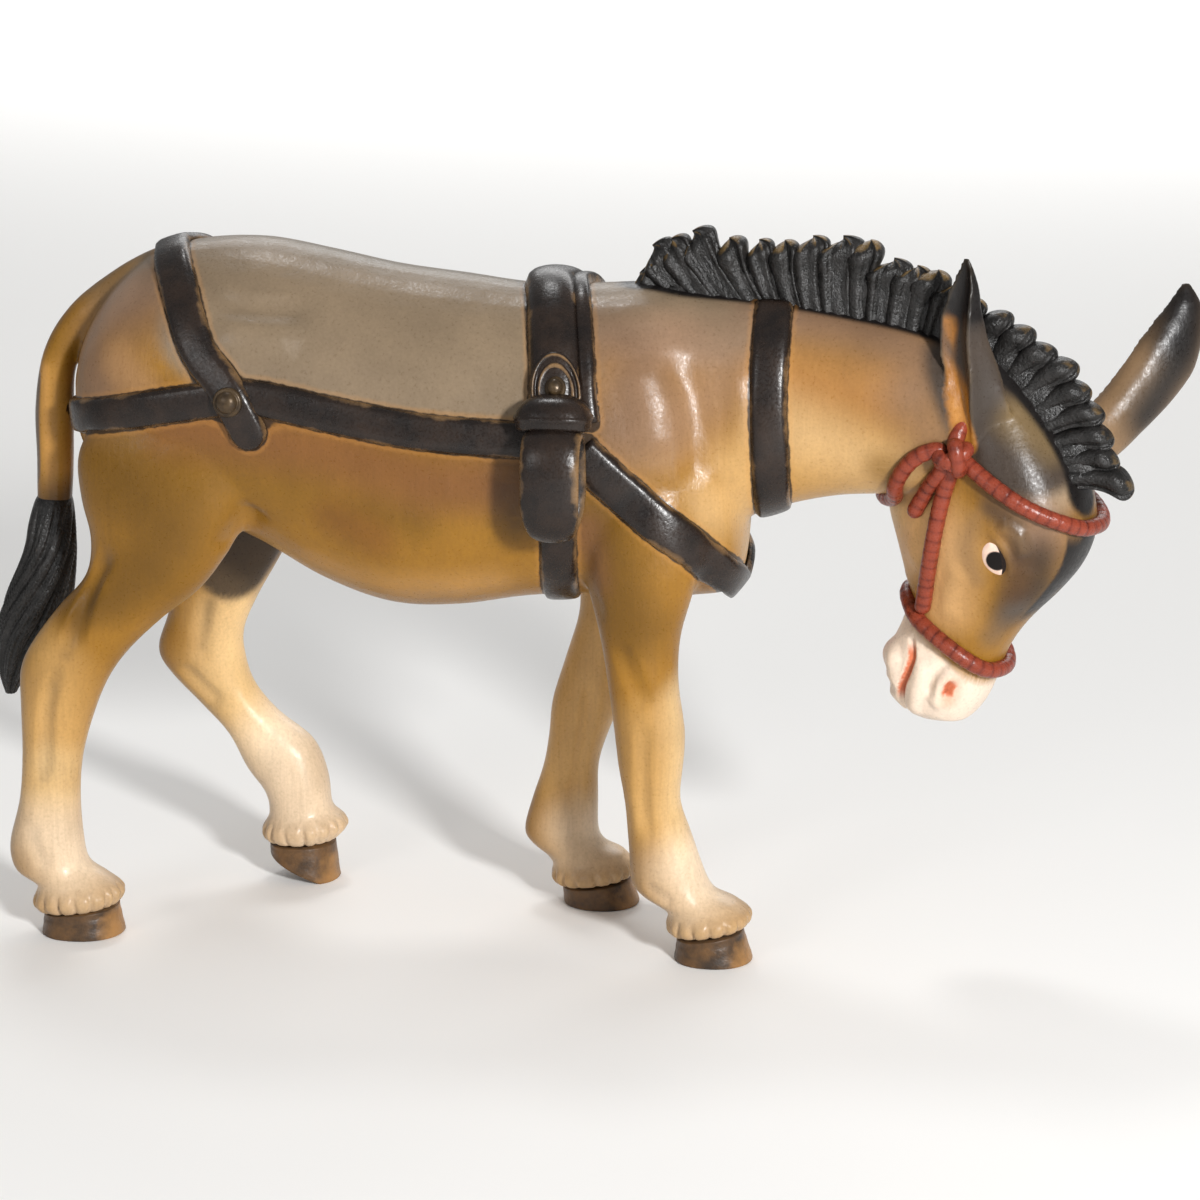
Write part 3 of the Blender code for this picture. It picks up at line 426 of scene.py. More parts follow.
FORELEG_RIGHT = sections(
    (-1.5, 78, 13, 80, 3.6, -10),
    (-2, 70, 15.5, 72, 5, -11.6),
    (-1.2, 62, 16.6, 63, 6, -11.6),
    (0.4, 55.6, 15, 56.6, 6.2, -11.2),
    (1.8, 49.6, 13.3, 50.2, 5.7, -11.2),
    (2.9, 42.6, 13.1, 43.4, 5.2, -11.4),
    (3.8, 36, 14.1, 36.2, 5.1, -11.5),
    (4.4, 31, 13.9, 31.4, 4.9, -11.6),
    (5.4, 25.4, 13.5, 26, 4.3, -11.8),
    (6, 18.6, 15.2, 21, 4.3, -12),
    (6.6, 12.8, 17.6, 14.2, 4.9, -12),
    (10, 10.4, 19.2, 12, 5, -12),
    (12.3, 8.8, 22, 11, 5.4, -12),
    (12.2, 6.4, 23.9, 9.4, 5.9, -12),
    (12.9, 5.5, 23.2, 7.4, 5.4, -12),
)
FORELEG_LEFT = sections(
    (-6, 78, 9, 80, 3.6, 10),
    (-6.5, 70, 12, 71, 5, 11.2),
    (-5.8, 62, 12.5, 63, 6, 11.2),
    (-4.8, 55, 10, 56.4, 6, 11),
    (-4.6, 48.6, 7, 49.4, 5.5, 11),
    (-6.6, 41.6, 4.2, 42.4, 5.1, 11),
    (-8.8, 34.4, 2.2, 35.2, 5, 11),
    (-9.3, 29.4, 0, 29.8, 4.8, 11),
    (-10.2, 24, -1.7, 24.4, 4.2, 11),
    (-12.2, 17.8, -1.8, 18.6, 4.3, 11),
    (-13.2, 12.6, -1.7, 13, 4.9, 11),
    (-9.8, 9.8, 0, 11, 5, 11),
    (-8.4, 7.6, 2.4, 10.2, 5.4, 11),
    (-8.4, 6, 3.6, 8, 5.9, 11),
    (-7.6, 4.8, 3.5, 6.6, 5.4, 11),
)
HINDLEG_RIGHT = sections(
    (-70, 84, -52, 86, 3, -13),
    (-74.8, 76, -47, 79, 5.4, -12.8),
    (-74.8, 69, -47, 71, 6.4, -12.6),
    (-73.5, 63, -51.5, 63.6, 6.4, -12.6),
    (-74.4, 57.4, -57, 56, 6, -12.8),
    (-78.6, 52.6, -63, 51.2, 5.4, -13),
    (-82.6, 47.4, -68.4, 46, 5, -13.2),
    (-84.8, 43, -71.6, 41.6, 4.8, -13.3),
    (-85, 37, -74, 36.2, 4.5, -13.3),
    (-85.1, 29.6, -76, 29.6, 4.1, -13.3),
    (-85.8, 22.6, -76.7, 23.4, 4.2, -13.3),
    (-87.6, 15.6, -76.5, 17, 4.8, -13.3),
    (-86.6, 11.4, -75.7, 12.6, 5, -13.3),
    (-83.2, 9.6, -72.8, 10.8, 5.2, -13.3),
    (-83.8, 6.4, -71, 8.6, 5.7, -13.3),
    (-83, 5.2, -71.4, 6.6, 5.3, -13.3),
)
HINDLEG_LEFT = sections(
    (-64, 84, -46, 86, 3, 12.6),
    (-72, 76, -43.5, 79, 5.4, 12.4),
    (-73, 68, -45, 70, 6.4, 12.6),
    (-70.6, 60, -47.4, 62.4, 6.4, 13.2),
    (-69.4, 52.6, -52, 54, 5.8, 14),
    (-69.6, 45.8, -55.8, 47.6, 5.2, 15),
    (-71.9, 39, -58.3, 42, 4.8, 15.8),
    (-70, 35, -58.2, 37.4, 4.7, 16.2),
    (-65.4, 30, -56.8, 32.9, 4.3, 16.6),
    (-61.2, 25.2, -53.2, 28.5, 4.2, 16.9),
    (-58.4, 19.6, -47.6, 24, 4.7, 17),
    (-55.6, 16, -45.4, 17.8, 4.9, 17),
    (-54.9, 12.8, -45.2, 13.8, 5, 17),
    (-55.6, 9.8, -43, 10.6, 5.7, 17),
    (-55.4, 7.8, -44.4, 8.2, 5.3, 17),
)
HOOVES = {
    "hoof_hind_right": sections(
        (-82.6, 5.2, -71.4, 6.4, 5.2, -13.3),
        (-83, 2, -70.6, 2, 5.7, -13.3),
    ),
    "hoof_hind_left": sections(
        (-55, 7.5, -44.6, 7.8, 5.1, 17),
        (-54.8, 6, -44, 0.8, 5.6, 17),
    ),
    "hoof_fore_right": sections(
        (13.2, 5.2, 22.9, 6.8, 5.2, -12),
        (12.8, 2, 24.4, 2, 5.7, -12),
    ),
    "hoof_fore_left": sections(
        (-7.3, 4.6, 3.2, 6, 5.2, 11),
        (-7, 2, 4.6, 2, 5.6, 11),
    ),
}
TAIL_DOCK = sections(
    (-62, 100, -62, 105.2, 2.2),
    (-67, 96, -67.2, 103.4, 3),
    (-72, 93, -72.8, 100.2, 3.4),
    (-76.4, 89.8, -79, 95.3, 3.5),
    (-79, 85.4, -83.3, 88.8, 3.3),
    (-79.5, 79, -85.1, 80.4, 3.2),
    (-79.8, 72, -85.2, 72, 3.1),
    (-80.2, 66.5, -85.4, 66.5, 3),
    (-80.8, 60, -85.4, 60, 2.6),
)
TAIL_TASSEL = sections(
    (-80.7, 66.6, -85, 66.6, 2.4),
    (-80.2, 65.2, -85.9, 65.2, 3.3),
    (-80, 62, -86.9, 62.2, 4.1),
    (-80, 57, -88, 57.5, 4.8),
    (-81.4, 48, -91.8, 48.5, 5.2),
    (-85.2, 42.8, -92.5, 43.2, 4.5),
    (-88.2, 38.5, -92.5, 38.7, 3.1),
    (-90.2, 35, -91.8, 35.1, 1.2),
)

# ---------------------------------------------------------------- gouges and the airbrush
class Edge(Enum):
    """How a stroke fades from its middle to its side."""

    SOFT = "soft"      # a bell, as a round gouge or a wide spray leaves
    SHARP = "sharp"    # a V, as a parting tool leaves
    FLAT = "flat"      # even almost to its side, as a brush leaves
    MASKED = "masked"  # even up to a hard line, as paint against a mask leaves

    def fade(self, share: np.ndarray) -> np.ndarray:
        """The stroke's weight at a share of its radius from the middle, from 1 down to 0.

        Args:
            share: The distance from the middle over the radius.

        Returns:
            One weight for each share.
        """
        share = np.clip(share, 0.0, 1.0)
        if self is Edge.SOFT:
            return (1 - share**2) ** 2
        if self is Edge.SHARP:
            return 1 - share
        return 1 - smoothstep(share, 0.94 if self is Edge.MASKED else 0.72, 1.0)


@dataclass(frozen=True)
class Stroke:
    """One pass of a tool along a route over the wood.

    The route is in the drawing's axes, on the right side where the stroke is on both sides, or in the
    head's axes as (forward, to the right, along).
    """

    route: Route
    radius: float
    edge: Edge = Edge.SOFT
    both_sides: bool = False
    on_head: bool = False
    tapered: bool = True

    def routes(self) -> Iterator[np.ndarray]:
        """The stroke's smooth routes in the drawing's axes, one for each side that it is on."""
        for side in (RIGHT, LEFT) if self.both_sides or self.on_head else (RIGHT,):
            points = np.array(self.route, float)
            if self.on_head:
                points = HEAD_FRAME.out(points * (1, side, 1))
            elif side == LEFT:
                points = points * (1, -1, 1)
            if len(points) > 1:
                points = smooth_rows(points, max(self.radius * 0.8, 0.8))
            yield points

    def weight(self, points: np.ndarray) -> np.ndarray:
        """How strongly the stroke takes at each point, from 0 to 1.

        Args:
            points: The points of the skin, as rows.

        Returns:
            One weight for each point.
        """
        total = np.zeros(len(points))
        for route in self.routes():
            low, high = route.min(0) - self.radius, route.max(0) + self.radius
            near = np.flatnonzero(((points > low) & (points < high)).all(axis=1))
            if not len(near):
                continue
            distance, share = along_route(points[near], route)
            weight = self.edge.fade(distance / self.radius)
            if self.tapered and len(route) > 1:
                weight *= smoothstep(np.minimum(share, 1 - share), 0.0, 0.22)
            total[near] = np.maximum(total[near], weight)
        return total


def along_route(points: np.ndarray, route: np.ndarray) -> tuple[np.ndarray, np.ndarray]:
    """The distance of each point from a route, and the share of the route's length where it is nearest.

    Args:
        points: The points, as rows.
        route: The points of the route, as rows.

    Returns:
        The distances, in millimetres, and the shares from 0 to 1.
    """
    if len(route) == 1:
        return np.linalg.norm(points - route[0], axis=1), np.full(len(points), 0.5)
    lengths = np.linalg.norm(np.diff(route, axis=0), axis=1)
    starts = np.concatenate([[0.0], np.cumsum(lengths)])
    best = np.full(len(points), np.inf)
    share = np.zeros(len(points))
    for k, length in enumerate(lengths):
        if length == 0:
            continue
        way = (route[k + 1] - route[k]) / length
        at = np.clip((points - route[k]) @ way, 0, length)
        distance = np.linalg.norm(points - route[k] - at[:, None] * way, axis=1)
        closer = distance < best
        best[closer] = distance[closer]
        share[closer] = (starts[k] + at[closer]) / starts[-1]
    return best, share


@dataclass(frozen=True)
class Gouge(Stroke):
    """A stroke that takes wood away to a depth in millimetres; a negative depth leaves it standing."""

    depth: float = 0.5


@dataclass(frozen=True)
class Stain(Stroke):
    """A stroke of stain: its sRGB hex colour, and how much of what is under it it hides."""

    colour: str = "#000000"
    strength: float = 1.0


def linear(hex_colour: str) -> np.ndarray:
    """An sRGB hex colour as linear red, green and blue."""
    values = np.array([int(hex_colour[i:i + 2], 16) / 255 for i in (1, 3, 5)])
    return np.where(values <= 0.04045, values / 12.92, ((values + 0.055) / 1.055) ** 2.4)


@dataclass(frozen=True)
class Cuff:
    """The tuft of hair that is carved as a ruffle round the top of a hoof."""

    centre: Place
    half_length: float
    half_width: float
    tilt: float = 0.1
    height: float = 2.6
    swell: float = 0.75
    notch: float = 0.85
    notch_width: float = 0.55
    locks: int = 17
    seed: int = 1

    def carve(self, points: np.ndarray) -> np.ndarray:
        """The moved points: out into the ruffle, and in at the notches between its locks.

        Args:
            points: The points of the skin, as rows.

        Returns:
            As many rows, moved near the cuff.
        """
        tilt = np.array(Matrix.Rotation(-self.tilt, 3, "Y"))
        local = (points - np.array(self.centre)) @ tilt
        level = local[:, 2] / self.height
        away = np.hypot(local[:, 0] / self.half_length, local[:, 1] / self.half_width)
        near = np.flatnonzero((np.abs(level) < 1) & (away < 1.7))
        local, level = local[near], level[near]
        turn = np.arctan2(local[:, 1] / self.half_width, local[:, 0] / self.half_length)
        rng = np.random.default_rng(self.seed)
        at = (np.arange(self.locks) + rng.uniform(-0.22, 0.22, self.locks)) * 2 * math.pi / self.locks
        depth = rng.uniform(0.6, 1.15, self.locks)
        apart = np.abs((turn[:, None] - at[None, :] + math.pi) % (2 * math.pi) - math.pi)
        apart *= (self.half_length + self.half_width) / 2
        cuts = (np.clip(1 - apart / self.notch_width, 0, 1) * depth[None, :]).max(axis=1)
        # The notches are deepest at the lower edge and run out towards the fetlock.
        cuts *= smoothstep(-level, -0.75, 0.1)
        out = self.swell * (1 - level**2) ** 2 - self.notch * cuts
        way = local * (1, 1, 0)
        local = local + unit(way) * out[:, None]
        moved = points.copy()
        moved[near] = local @ tilt.T + np.array(self.centre)
        return moved


@dataclass(frozen=True)
class Ear:
    """A cupped ear: the route of its hollow's middle, the way the hollow opens, and its sections."""

    route: Route
    opening: Place
    # share of the length, width of the hollow, bulge of the back, depth of the hollow, skew of the back
    sections: tuple[tuple[float, float, float, float, float], ...]
    sides: int = 18

    def rings(self) -> np.ndarray:
        """Bean-shaped rings: a bulging back, and in front a hollow, or a swelling near the root."""
        route = smooth_rows(self.route, 1.0)
        lengths = np.concatenate([[0], np.cumsum(np.linalg.norm(np.diff(route, axis=0), axis=1))])
        table = np.array(self.sections)
        width, bulge, cup, skew = (np.interp(lengths / lengths[-1], table[:, 0], table[:, c])
                                   for c in (1, 2, 3, 4))
        along = tangents(route)
        opening = np.array(self.opening)
        facing = unit(opening - along * (along @ opening)[:, None])
        across = np.cross(along, facing)
        turn = np.linspace(0, math.pi, self.sides + 1)
        rings = []
        # The back rises steeply from the rims, so that they are thick and round.
        for k, point in enumerate(route):
            back = [point + across[k] * (width[k] / 2 * math.cos(a) + skew[k] * math.sin(a))
                    - facing[k] * bulge[k] * math.sin(a) ** 0.65 for a in turn]
            front = [point + across[k] * width[k] * 0.40 * math.cos(a)
                     - facing[k] * cup[k] * math.sin(a) ** 1.3 for a in turn[-2:0:-1]]
            rings.append(back + front)
        return np.array(rings)


EARS = {
    "ear_right": Ear(
        ((54.4, -10.6, 77), (53.6, -12.2, 81), (52.8, -13.2, 85), (52.2, -13.2, 89.5),
         (51.5, -13.2, 94), (51.6, -13.2, 98.5), (52.4, -13.2, 102.5), (53, -13.2, 106.6)),
        (-0.62, -0.78, 0),
        ((0.00, 1.6, 5, 0.2, 3), (0.12, 2.4, 5.4, 0.5, 4.2), (0.26, 3.4, 5.2, 1, 4.6),
         (0.41, 4.6, 5, 1.5, 3.6), (0.56, 5.4, 4.2, 1.8, 2.8), (0.72, 5.2, 3.5, 1.6, 1.8),
         (0.86, 3.8, 2.5, 1.1, 0.8), (0.95, 2.2, 1.4, 0.6, 0.2), (1.00, 0.8, 0.5, 0, 0)),
    ),
    "ear_left": Ear(
        ((67.4, 1, 76.4), (73.6, 4.6, 80.8), (80.4, 7.6, 88.8), (83.4, 9, 95.6), (83.8, 9.4, 100.4)),
        (-0.36, 0.93, 0.1),
        ((0.00, 9.6, 5, -3.4, 0), (0.16, 8.6, 4.4, -1.2, 0), (0.32, 8.6, 4, 1.6, 0),
         (0.50, 9.4, 3.8, 2.3, 0), (0.66, 9.8, 3.4, 2.1, 0), (0.80, 7.8, 2.8, 1.6, 0),
         (0.92, 4.6, 2, 0.9, 0), (1.00, 1.2, 0.8, 0, 0)),
    ),
}

CUFFS = (
    Cuff((-77.2, -13.3, 7.7), 6, 5.4, seed=3),
    Cuff((-49.6, 17, 10.2), 5.9, 5.4, seed=5),
    Cuff((18, -12, 7.6), 5.8, 5.5, seed=7),
    Cuff((-2.2, 11, 6.8), 5.8, 5.4, seed=9),
)

# Muscles and hollows, from the tail forwards. Depths are in millimetres.
MUSCLES = (
    Gouge(((-60, -9, 102), (-52.8, -14.4, 98.2), (-46, -14.6, 97.6), (-38, -13.6, 97.2)), 3,
          both_sides=True, depth=0.7),
    Gouge(((-50, -16.6, 94), (-44, -16.8, 93.6)), 4.5, both_sides=True, depth=-0.6, tapered=False),
    Gouge(((-48, -15.6, 70), (-50.6, -15.2, 65.6), (-54.4, -14.4, 62)), 4.2, both_sides=True, depth=0.9),
    Gouge(((11, -11.6, 93), (14.6, -12.4, 86), (15.4, -13.2, 79), (15.6, -13.6, 72)), 3.4,
          both_sides=True, depth=0.8),
    Gouge(((7, -13.4, 92), (9.6, -14.4, 85), (10.4, -15.4, 77)), 4.6, both_sides=True, depth=-0.6),
    Gouge(((20.6, -10.6, 91), (21.4, -11.2, 84), (21, -11, 76)), 2.6, both_sides=True, depth=-0.35),
    Gouge(((3, -10, 97.6), (8, -8.6, 97.6)), 4, both_sides=True, depth=-0.4, tapered=False),
    Gouge(((0.6, -15.2, 66), (0.8, -14.8, 58), (2.4, -15, 52)), 2.8, both_sides=False, depth=0.4),
    # near hind leg: before the tendon, along the cannon and behind the fetlock
    Gouge(((-68.6, -18, 63), (-72.4, -17.6, 57.4), (-74.4, -17.8, 51), (-76.4, -17.8, 46)), 2.3, depth=0.85),
    Gouge(((-77.6, -17.6, 43.6), (-79.6, -17.6, 39), (-80.4, -17.4, 32), (-81, -17.2, 25)), 1.9, depth=0.75),
    Gouge(((-82.8, -16.6, 20), (-82.4, -17.2, 16), (-80.4, -17.8, 12.6)), 1.8, depth=0.55),
    # far hind leg, on its inner and outer faces
    Gouge(((-61.8, 10.2, 50), (-63.6, 11, 43), (-64, 11.8, 36.6)), 2.4, depth=0.55),
    Gouge(((-67.4, 12, 37.6), (-64.6, 11.9, 34), (-61, 12.3, 30.4)), 2, depth=0.65),
    Gouge(((-63.6, 19.6, 46), (-65.8, 20.4, 40), (-63, 20.6, 34)), 2.2, depth=0.6),
    # near foreleg
    Gouge(((4.6, -16.6, 51), (7.6, -16.6, 44), (8.8, -16.6, 40)), 2.2, depth=0.55),
    Gouge(((8.8, -16.6, 40), (8.4, -16.4, 33), (8.6, -16, 24.6), (9.8, -16.2, 19.6)), 1.7, depth=0.55),
    Gouge(((8.6, -16.6, 14.4), (11, -16.8, 12.6), (13.4, -17, 11.8)), 1.7, depth=0.5),
    # far foreleg, on its inner and outer faces
    Gouge(((-2.4, 6.2, 40), (-2.9, 6.2, 31), (-4.4, 6.8, 22), (-4.8, 6.8, 16)), 1.8, depth=0.75),
    Gouge(((-2.4, 15.8, 40), (-4.2, 15.8, 31), (-6.2, 15.6, 22)), 1.8, depth=0.5),
    Gouge(((6.4, -6.6, 40), (8, -6.8, 31), (9.4, -7.6, 22)), 1.8, depth=0.5),
)

# The face, in the head's axes: forward, to the right and along from the muzzle.
FACE = (
    # the jaw narrows above the muzzle, and the chin and lips stand out below it
    Gouge(((-9.6, 0, 12.4), (-9.2, 3.4, 12), (-7.6, 5.2, 11)), 3.4, on_head=True, depth=0.9, tapered=False),
    Gouge(((-8.8, 0, 3.2), (-8.2, 3.4, 3.4), (-7, 5, 3.6)), 2.8, on_head=True, depth=-0.9, tapered=False),
    Gouge(((-7.6, 0, -1.4), (-6.6, 3.2, -1.2), (-5.6, 4.8, -0.4)), 1.6, on_head=True, depth=0.5,
          tapered=False),
    Gouge(((-4.4, 6.6, 7.8), (-3.1, 7.1, 5.6), (-3, 7, 3.2), (-3.4, 6.3, 0.6), (-3.2, 5, -2.2),
           (-2.6, 3, -3.9), (-2.4, 0, -4.6)), 0.85, Edge.SHARP, on_head=True, depth=0.9, tapered=False),
    Gouge(((-6.2, 6.4, 5.6), (-5.9, 6.2, 2), (-5.4, 4.8, -1.4)), 1.9, on_head=True, depth=-0.6),
    Gouge(((-1.2, 7, 6.8), (-0.9, 7.1, 2.6), (-1, 5.8, -1.6), (-0.6, 3.4, -3.6)), 1.8, on_head=True,
          depth=-0.55),
    Gouge(((3, 6.9, 8), (1.5, 7.2, 5.6), (1.1, 7, 3), (1.7, 6.3, 0.6)), 1.15, on_head=True, depth=0.6),
    Gouge(((4.8, 6.2, 5.8), (2.6, 7, 3.9), (2.3, 6.4, 1), (3.8, 5.2, -0.8)), 1.5, on_head=True, depth=-0.55),
    Gouge(((4.1, 6.3, 5), (3.5, 6.6, 3.4), (3.7, 6.2, 1.8)), 0.95, Edge.SHARP, on_head=True, depth=0.85),
    # cheek, brow and nose
    Gouge(((0.4, 9.6, 22), (-0.4, 8.4, 17), (0.6, 7.2, 12.4)), 2.6, on_head=True, depth=-0.45),
    Gouge(((-8, 9.8, 30), (-7, 9, 23), (-8.4, 7.6, 17)), 4, on_head=True, depth=-0.5),
    Gouge(((8.4, 8.4, 33), (9.8, 7.4, 29), (9.6, 6.8, 24)), 2.6, on_head=True, depth=0.45),
    Gouge(((3.6, 9.6, 30.6), (7.2, 9, 29.6), (9, 7.8, 26.6)), 1.9, on_head=True, depth=-0.6),
)
# The sockets that the eyes are set in, with their lids.
EYE_SOCKET = (
    Gouge(((3.3, 9.7, 27.2), (4.8, 9.2, 25.2), (6.3, 8.4, 23.2)), 1.8, on_head=True, depth=0.3),
    Gouge(((2.8, 9.8, 28.8), (5.4, 9.5, 27.6), (7.3, 8.7, 25.2), (7.5, 8.1, 22.4)), 0.95, on_head=True,
          depth=-0.35),
)


# ---------------------------------------------------------------- the carved skin
@dataclass
class Carving:
    """The figure's wood: one skin over body, head, ears and tail, carved and stained."""

    lofts: dict[str, tuple[Station, ...]]
    ears: dict[str, Ear]
    coarse_voxel: float = 0.45
    coarse_smoothing: int = 14
    fine_voxel: float = 0.34
    fine_smoothing: int = 5
    triangles: int = 192_000
    replaced: tuple[str, ...] = (
        "trunk", "neck", "head", "leg_fore_right", "leg_fore_left", "leg_hind_right", "leg_hind_left",
        "ear_right", "ear_left", "tail_dock",
    )

    def rough_out(self) -> Object:
        """The masses run together as one skin, with the ears on it."""
        parts = [loft(name, self.rings(name)) for name in self.lofts]
        body = joined("carved_skin", parts)
        add_modifier(body, "REMESH", mode="VOXEL", voxel_size=self.coarse_voxel)
        add_modifier(body, "SMOOTH", factor=0.5, iterations=self.coarse_smoothing)
        applied(body)
        ears = [loft(name, ear.rings()) for name, ear in self.ears.items()]
        body = joined("carved_skin", [body, *ears])
        add_modifier(body, "REMESH", mode="VOXEL", voxel_size=self.fine_voxel)
        add_modifier(body, "SMOOTH", factor=0.5, iterations=self.fine_smoothing)
        return applied(body)

    def rings(self, name: str) -> np.ndarray:
        """The rings of one mass; the head's are turned out of its own axes."""
        rings = station_rings(self.lofts[name], 1.6, 44)
        return HEAD_FRAME.out(rings) if name == "head" else rings

    def carve(self, body: Object) -> None:
        """Cuts the muscles, the hoof ruffles and then the finer face into the skin.

        Args:
            body: The blended skin, which is changed.
        """
        for strokes in (MUSCLES, FACE, EYE_SOCKET):
            points, normals = points_of(body), normals_of(body)
            depth = sum(stroke.depth * stroke.weight(points) for stroke in strokes)
            set_points(body, points - normals * depth[:, None])
        points = points_of(body)
        for cuff in CUFFS:
            points = cuff.carve(points)
        set_points(body, points)

    def thin(self, body: Object) -> None:
        """Takes the skin down to its triangles, the flat places first.

        Args:
            body: The carved skin, which is changed.
        """
        faces = 2 * len(body.data.polygons)
        add_modifier(body, "DECIMATE", ratio=self.triangles / faces, use_collapse_triangulate=True)
        applied(body)

    def stain(self, body: Object) -> None:
        """Lays the airbrushed colours on the skin, and says where the wood is left almost bare.

        Args:
            body: The carved skin, which gets the stain and cover attributes.
        """
        points = points_of(body)
        colour = np.tile(linear(TAN), (len(points), 1))
        cover = np.zeros(len(points))
        for stroke in (*COAT, *DETAILS):
            weight = (stroke.weight(points) * stroke.strength)[:, None]
            colour = colour * (1 - weight) + linear(stroke.colour) * weight
            cover = np.maximum(cover * (1 - weight[:, 0] * (stroke.colour in PALE)), weight[:, 0] * (
                stroke.colour not in PALE))
        add_attribute(body, "stain", colour)
        add_attribute(body, "cover", cover)

    def build(self) -> Object:
        """Makes the whole skin.

        Returns:
            The skin, still in the drawing's millimetres.
        """
        body = self.rough_out()
        self.carve(body)
        self.thin(body)
        self.stain(body)
        body.data.shade_smooth()
        return body


TAN = "#90651f"
CREAM_GOLD = "#d7ae73"
CREAM = "#ecd2a4"
PINK_CREAM = "#f1dcc0"
OCHRE = "#775314"
DEEP_OCHRE = "#62430c"
UMBER = "#4a3320"
OLIVE_GREY = "#7b6a55"
WARM_GREY = "#7b604b"
MOLE_GREY = "#5b524a"
CHARCOAL = "#201e1d"
BLACK = "#171413"
MUZZLE_WHITE = "#e2ceba"
SALMON = "#c26a47"
# painted shade, for faces and cuts turned away from the light
PAINTED_SHADE = "#3d3124"
PALE = (CREAM_GOLD, CREAM, PINK_CREAM)


def spray(route: Route, radius: float, colour: str, strength: float = 0.9, **settings: object) -> Stain:
    """A soft wide stroke of the airbrush on both sides of the body."""
    settings = {"both_sides": True, "tapered": False, **settings}
    return Stain(route, radius, colour=colour, strength=strength, **settings)


def one_side(route: Route, radius: float, colour: str, strength: float = 0.9, **settings: object) -> Stain:
    """A soft stroke of the airbrush on one leg or one side."""
    return spray(route, radius, colour, strength, **{"both_sides": False, **settings})


def on_head(route: Route, radius: float, colour: str, strength: float = 0.9, **settings: object) -> Stain:
    """A soft stroke of the airbrush on both sides of the head, in the head's axes."""
    return spray(route, radius, colour, strength, **{"both_sides": False, "on_head": True, **settings})


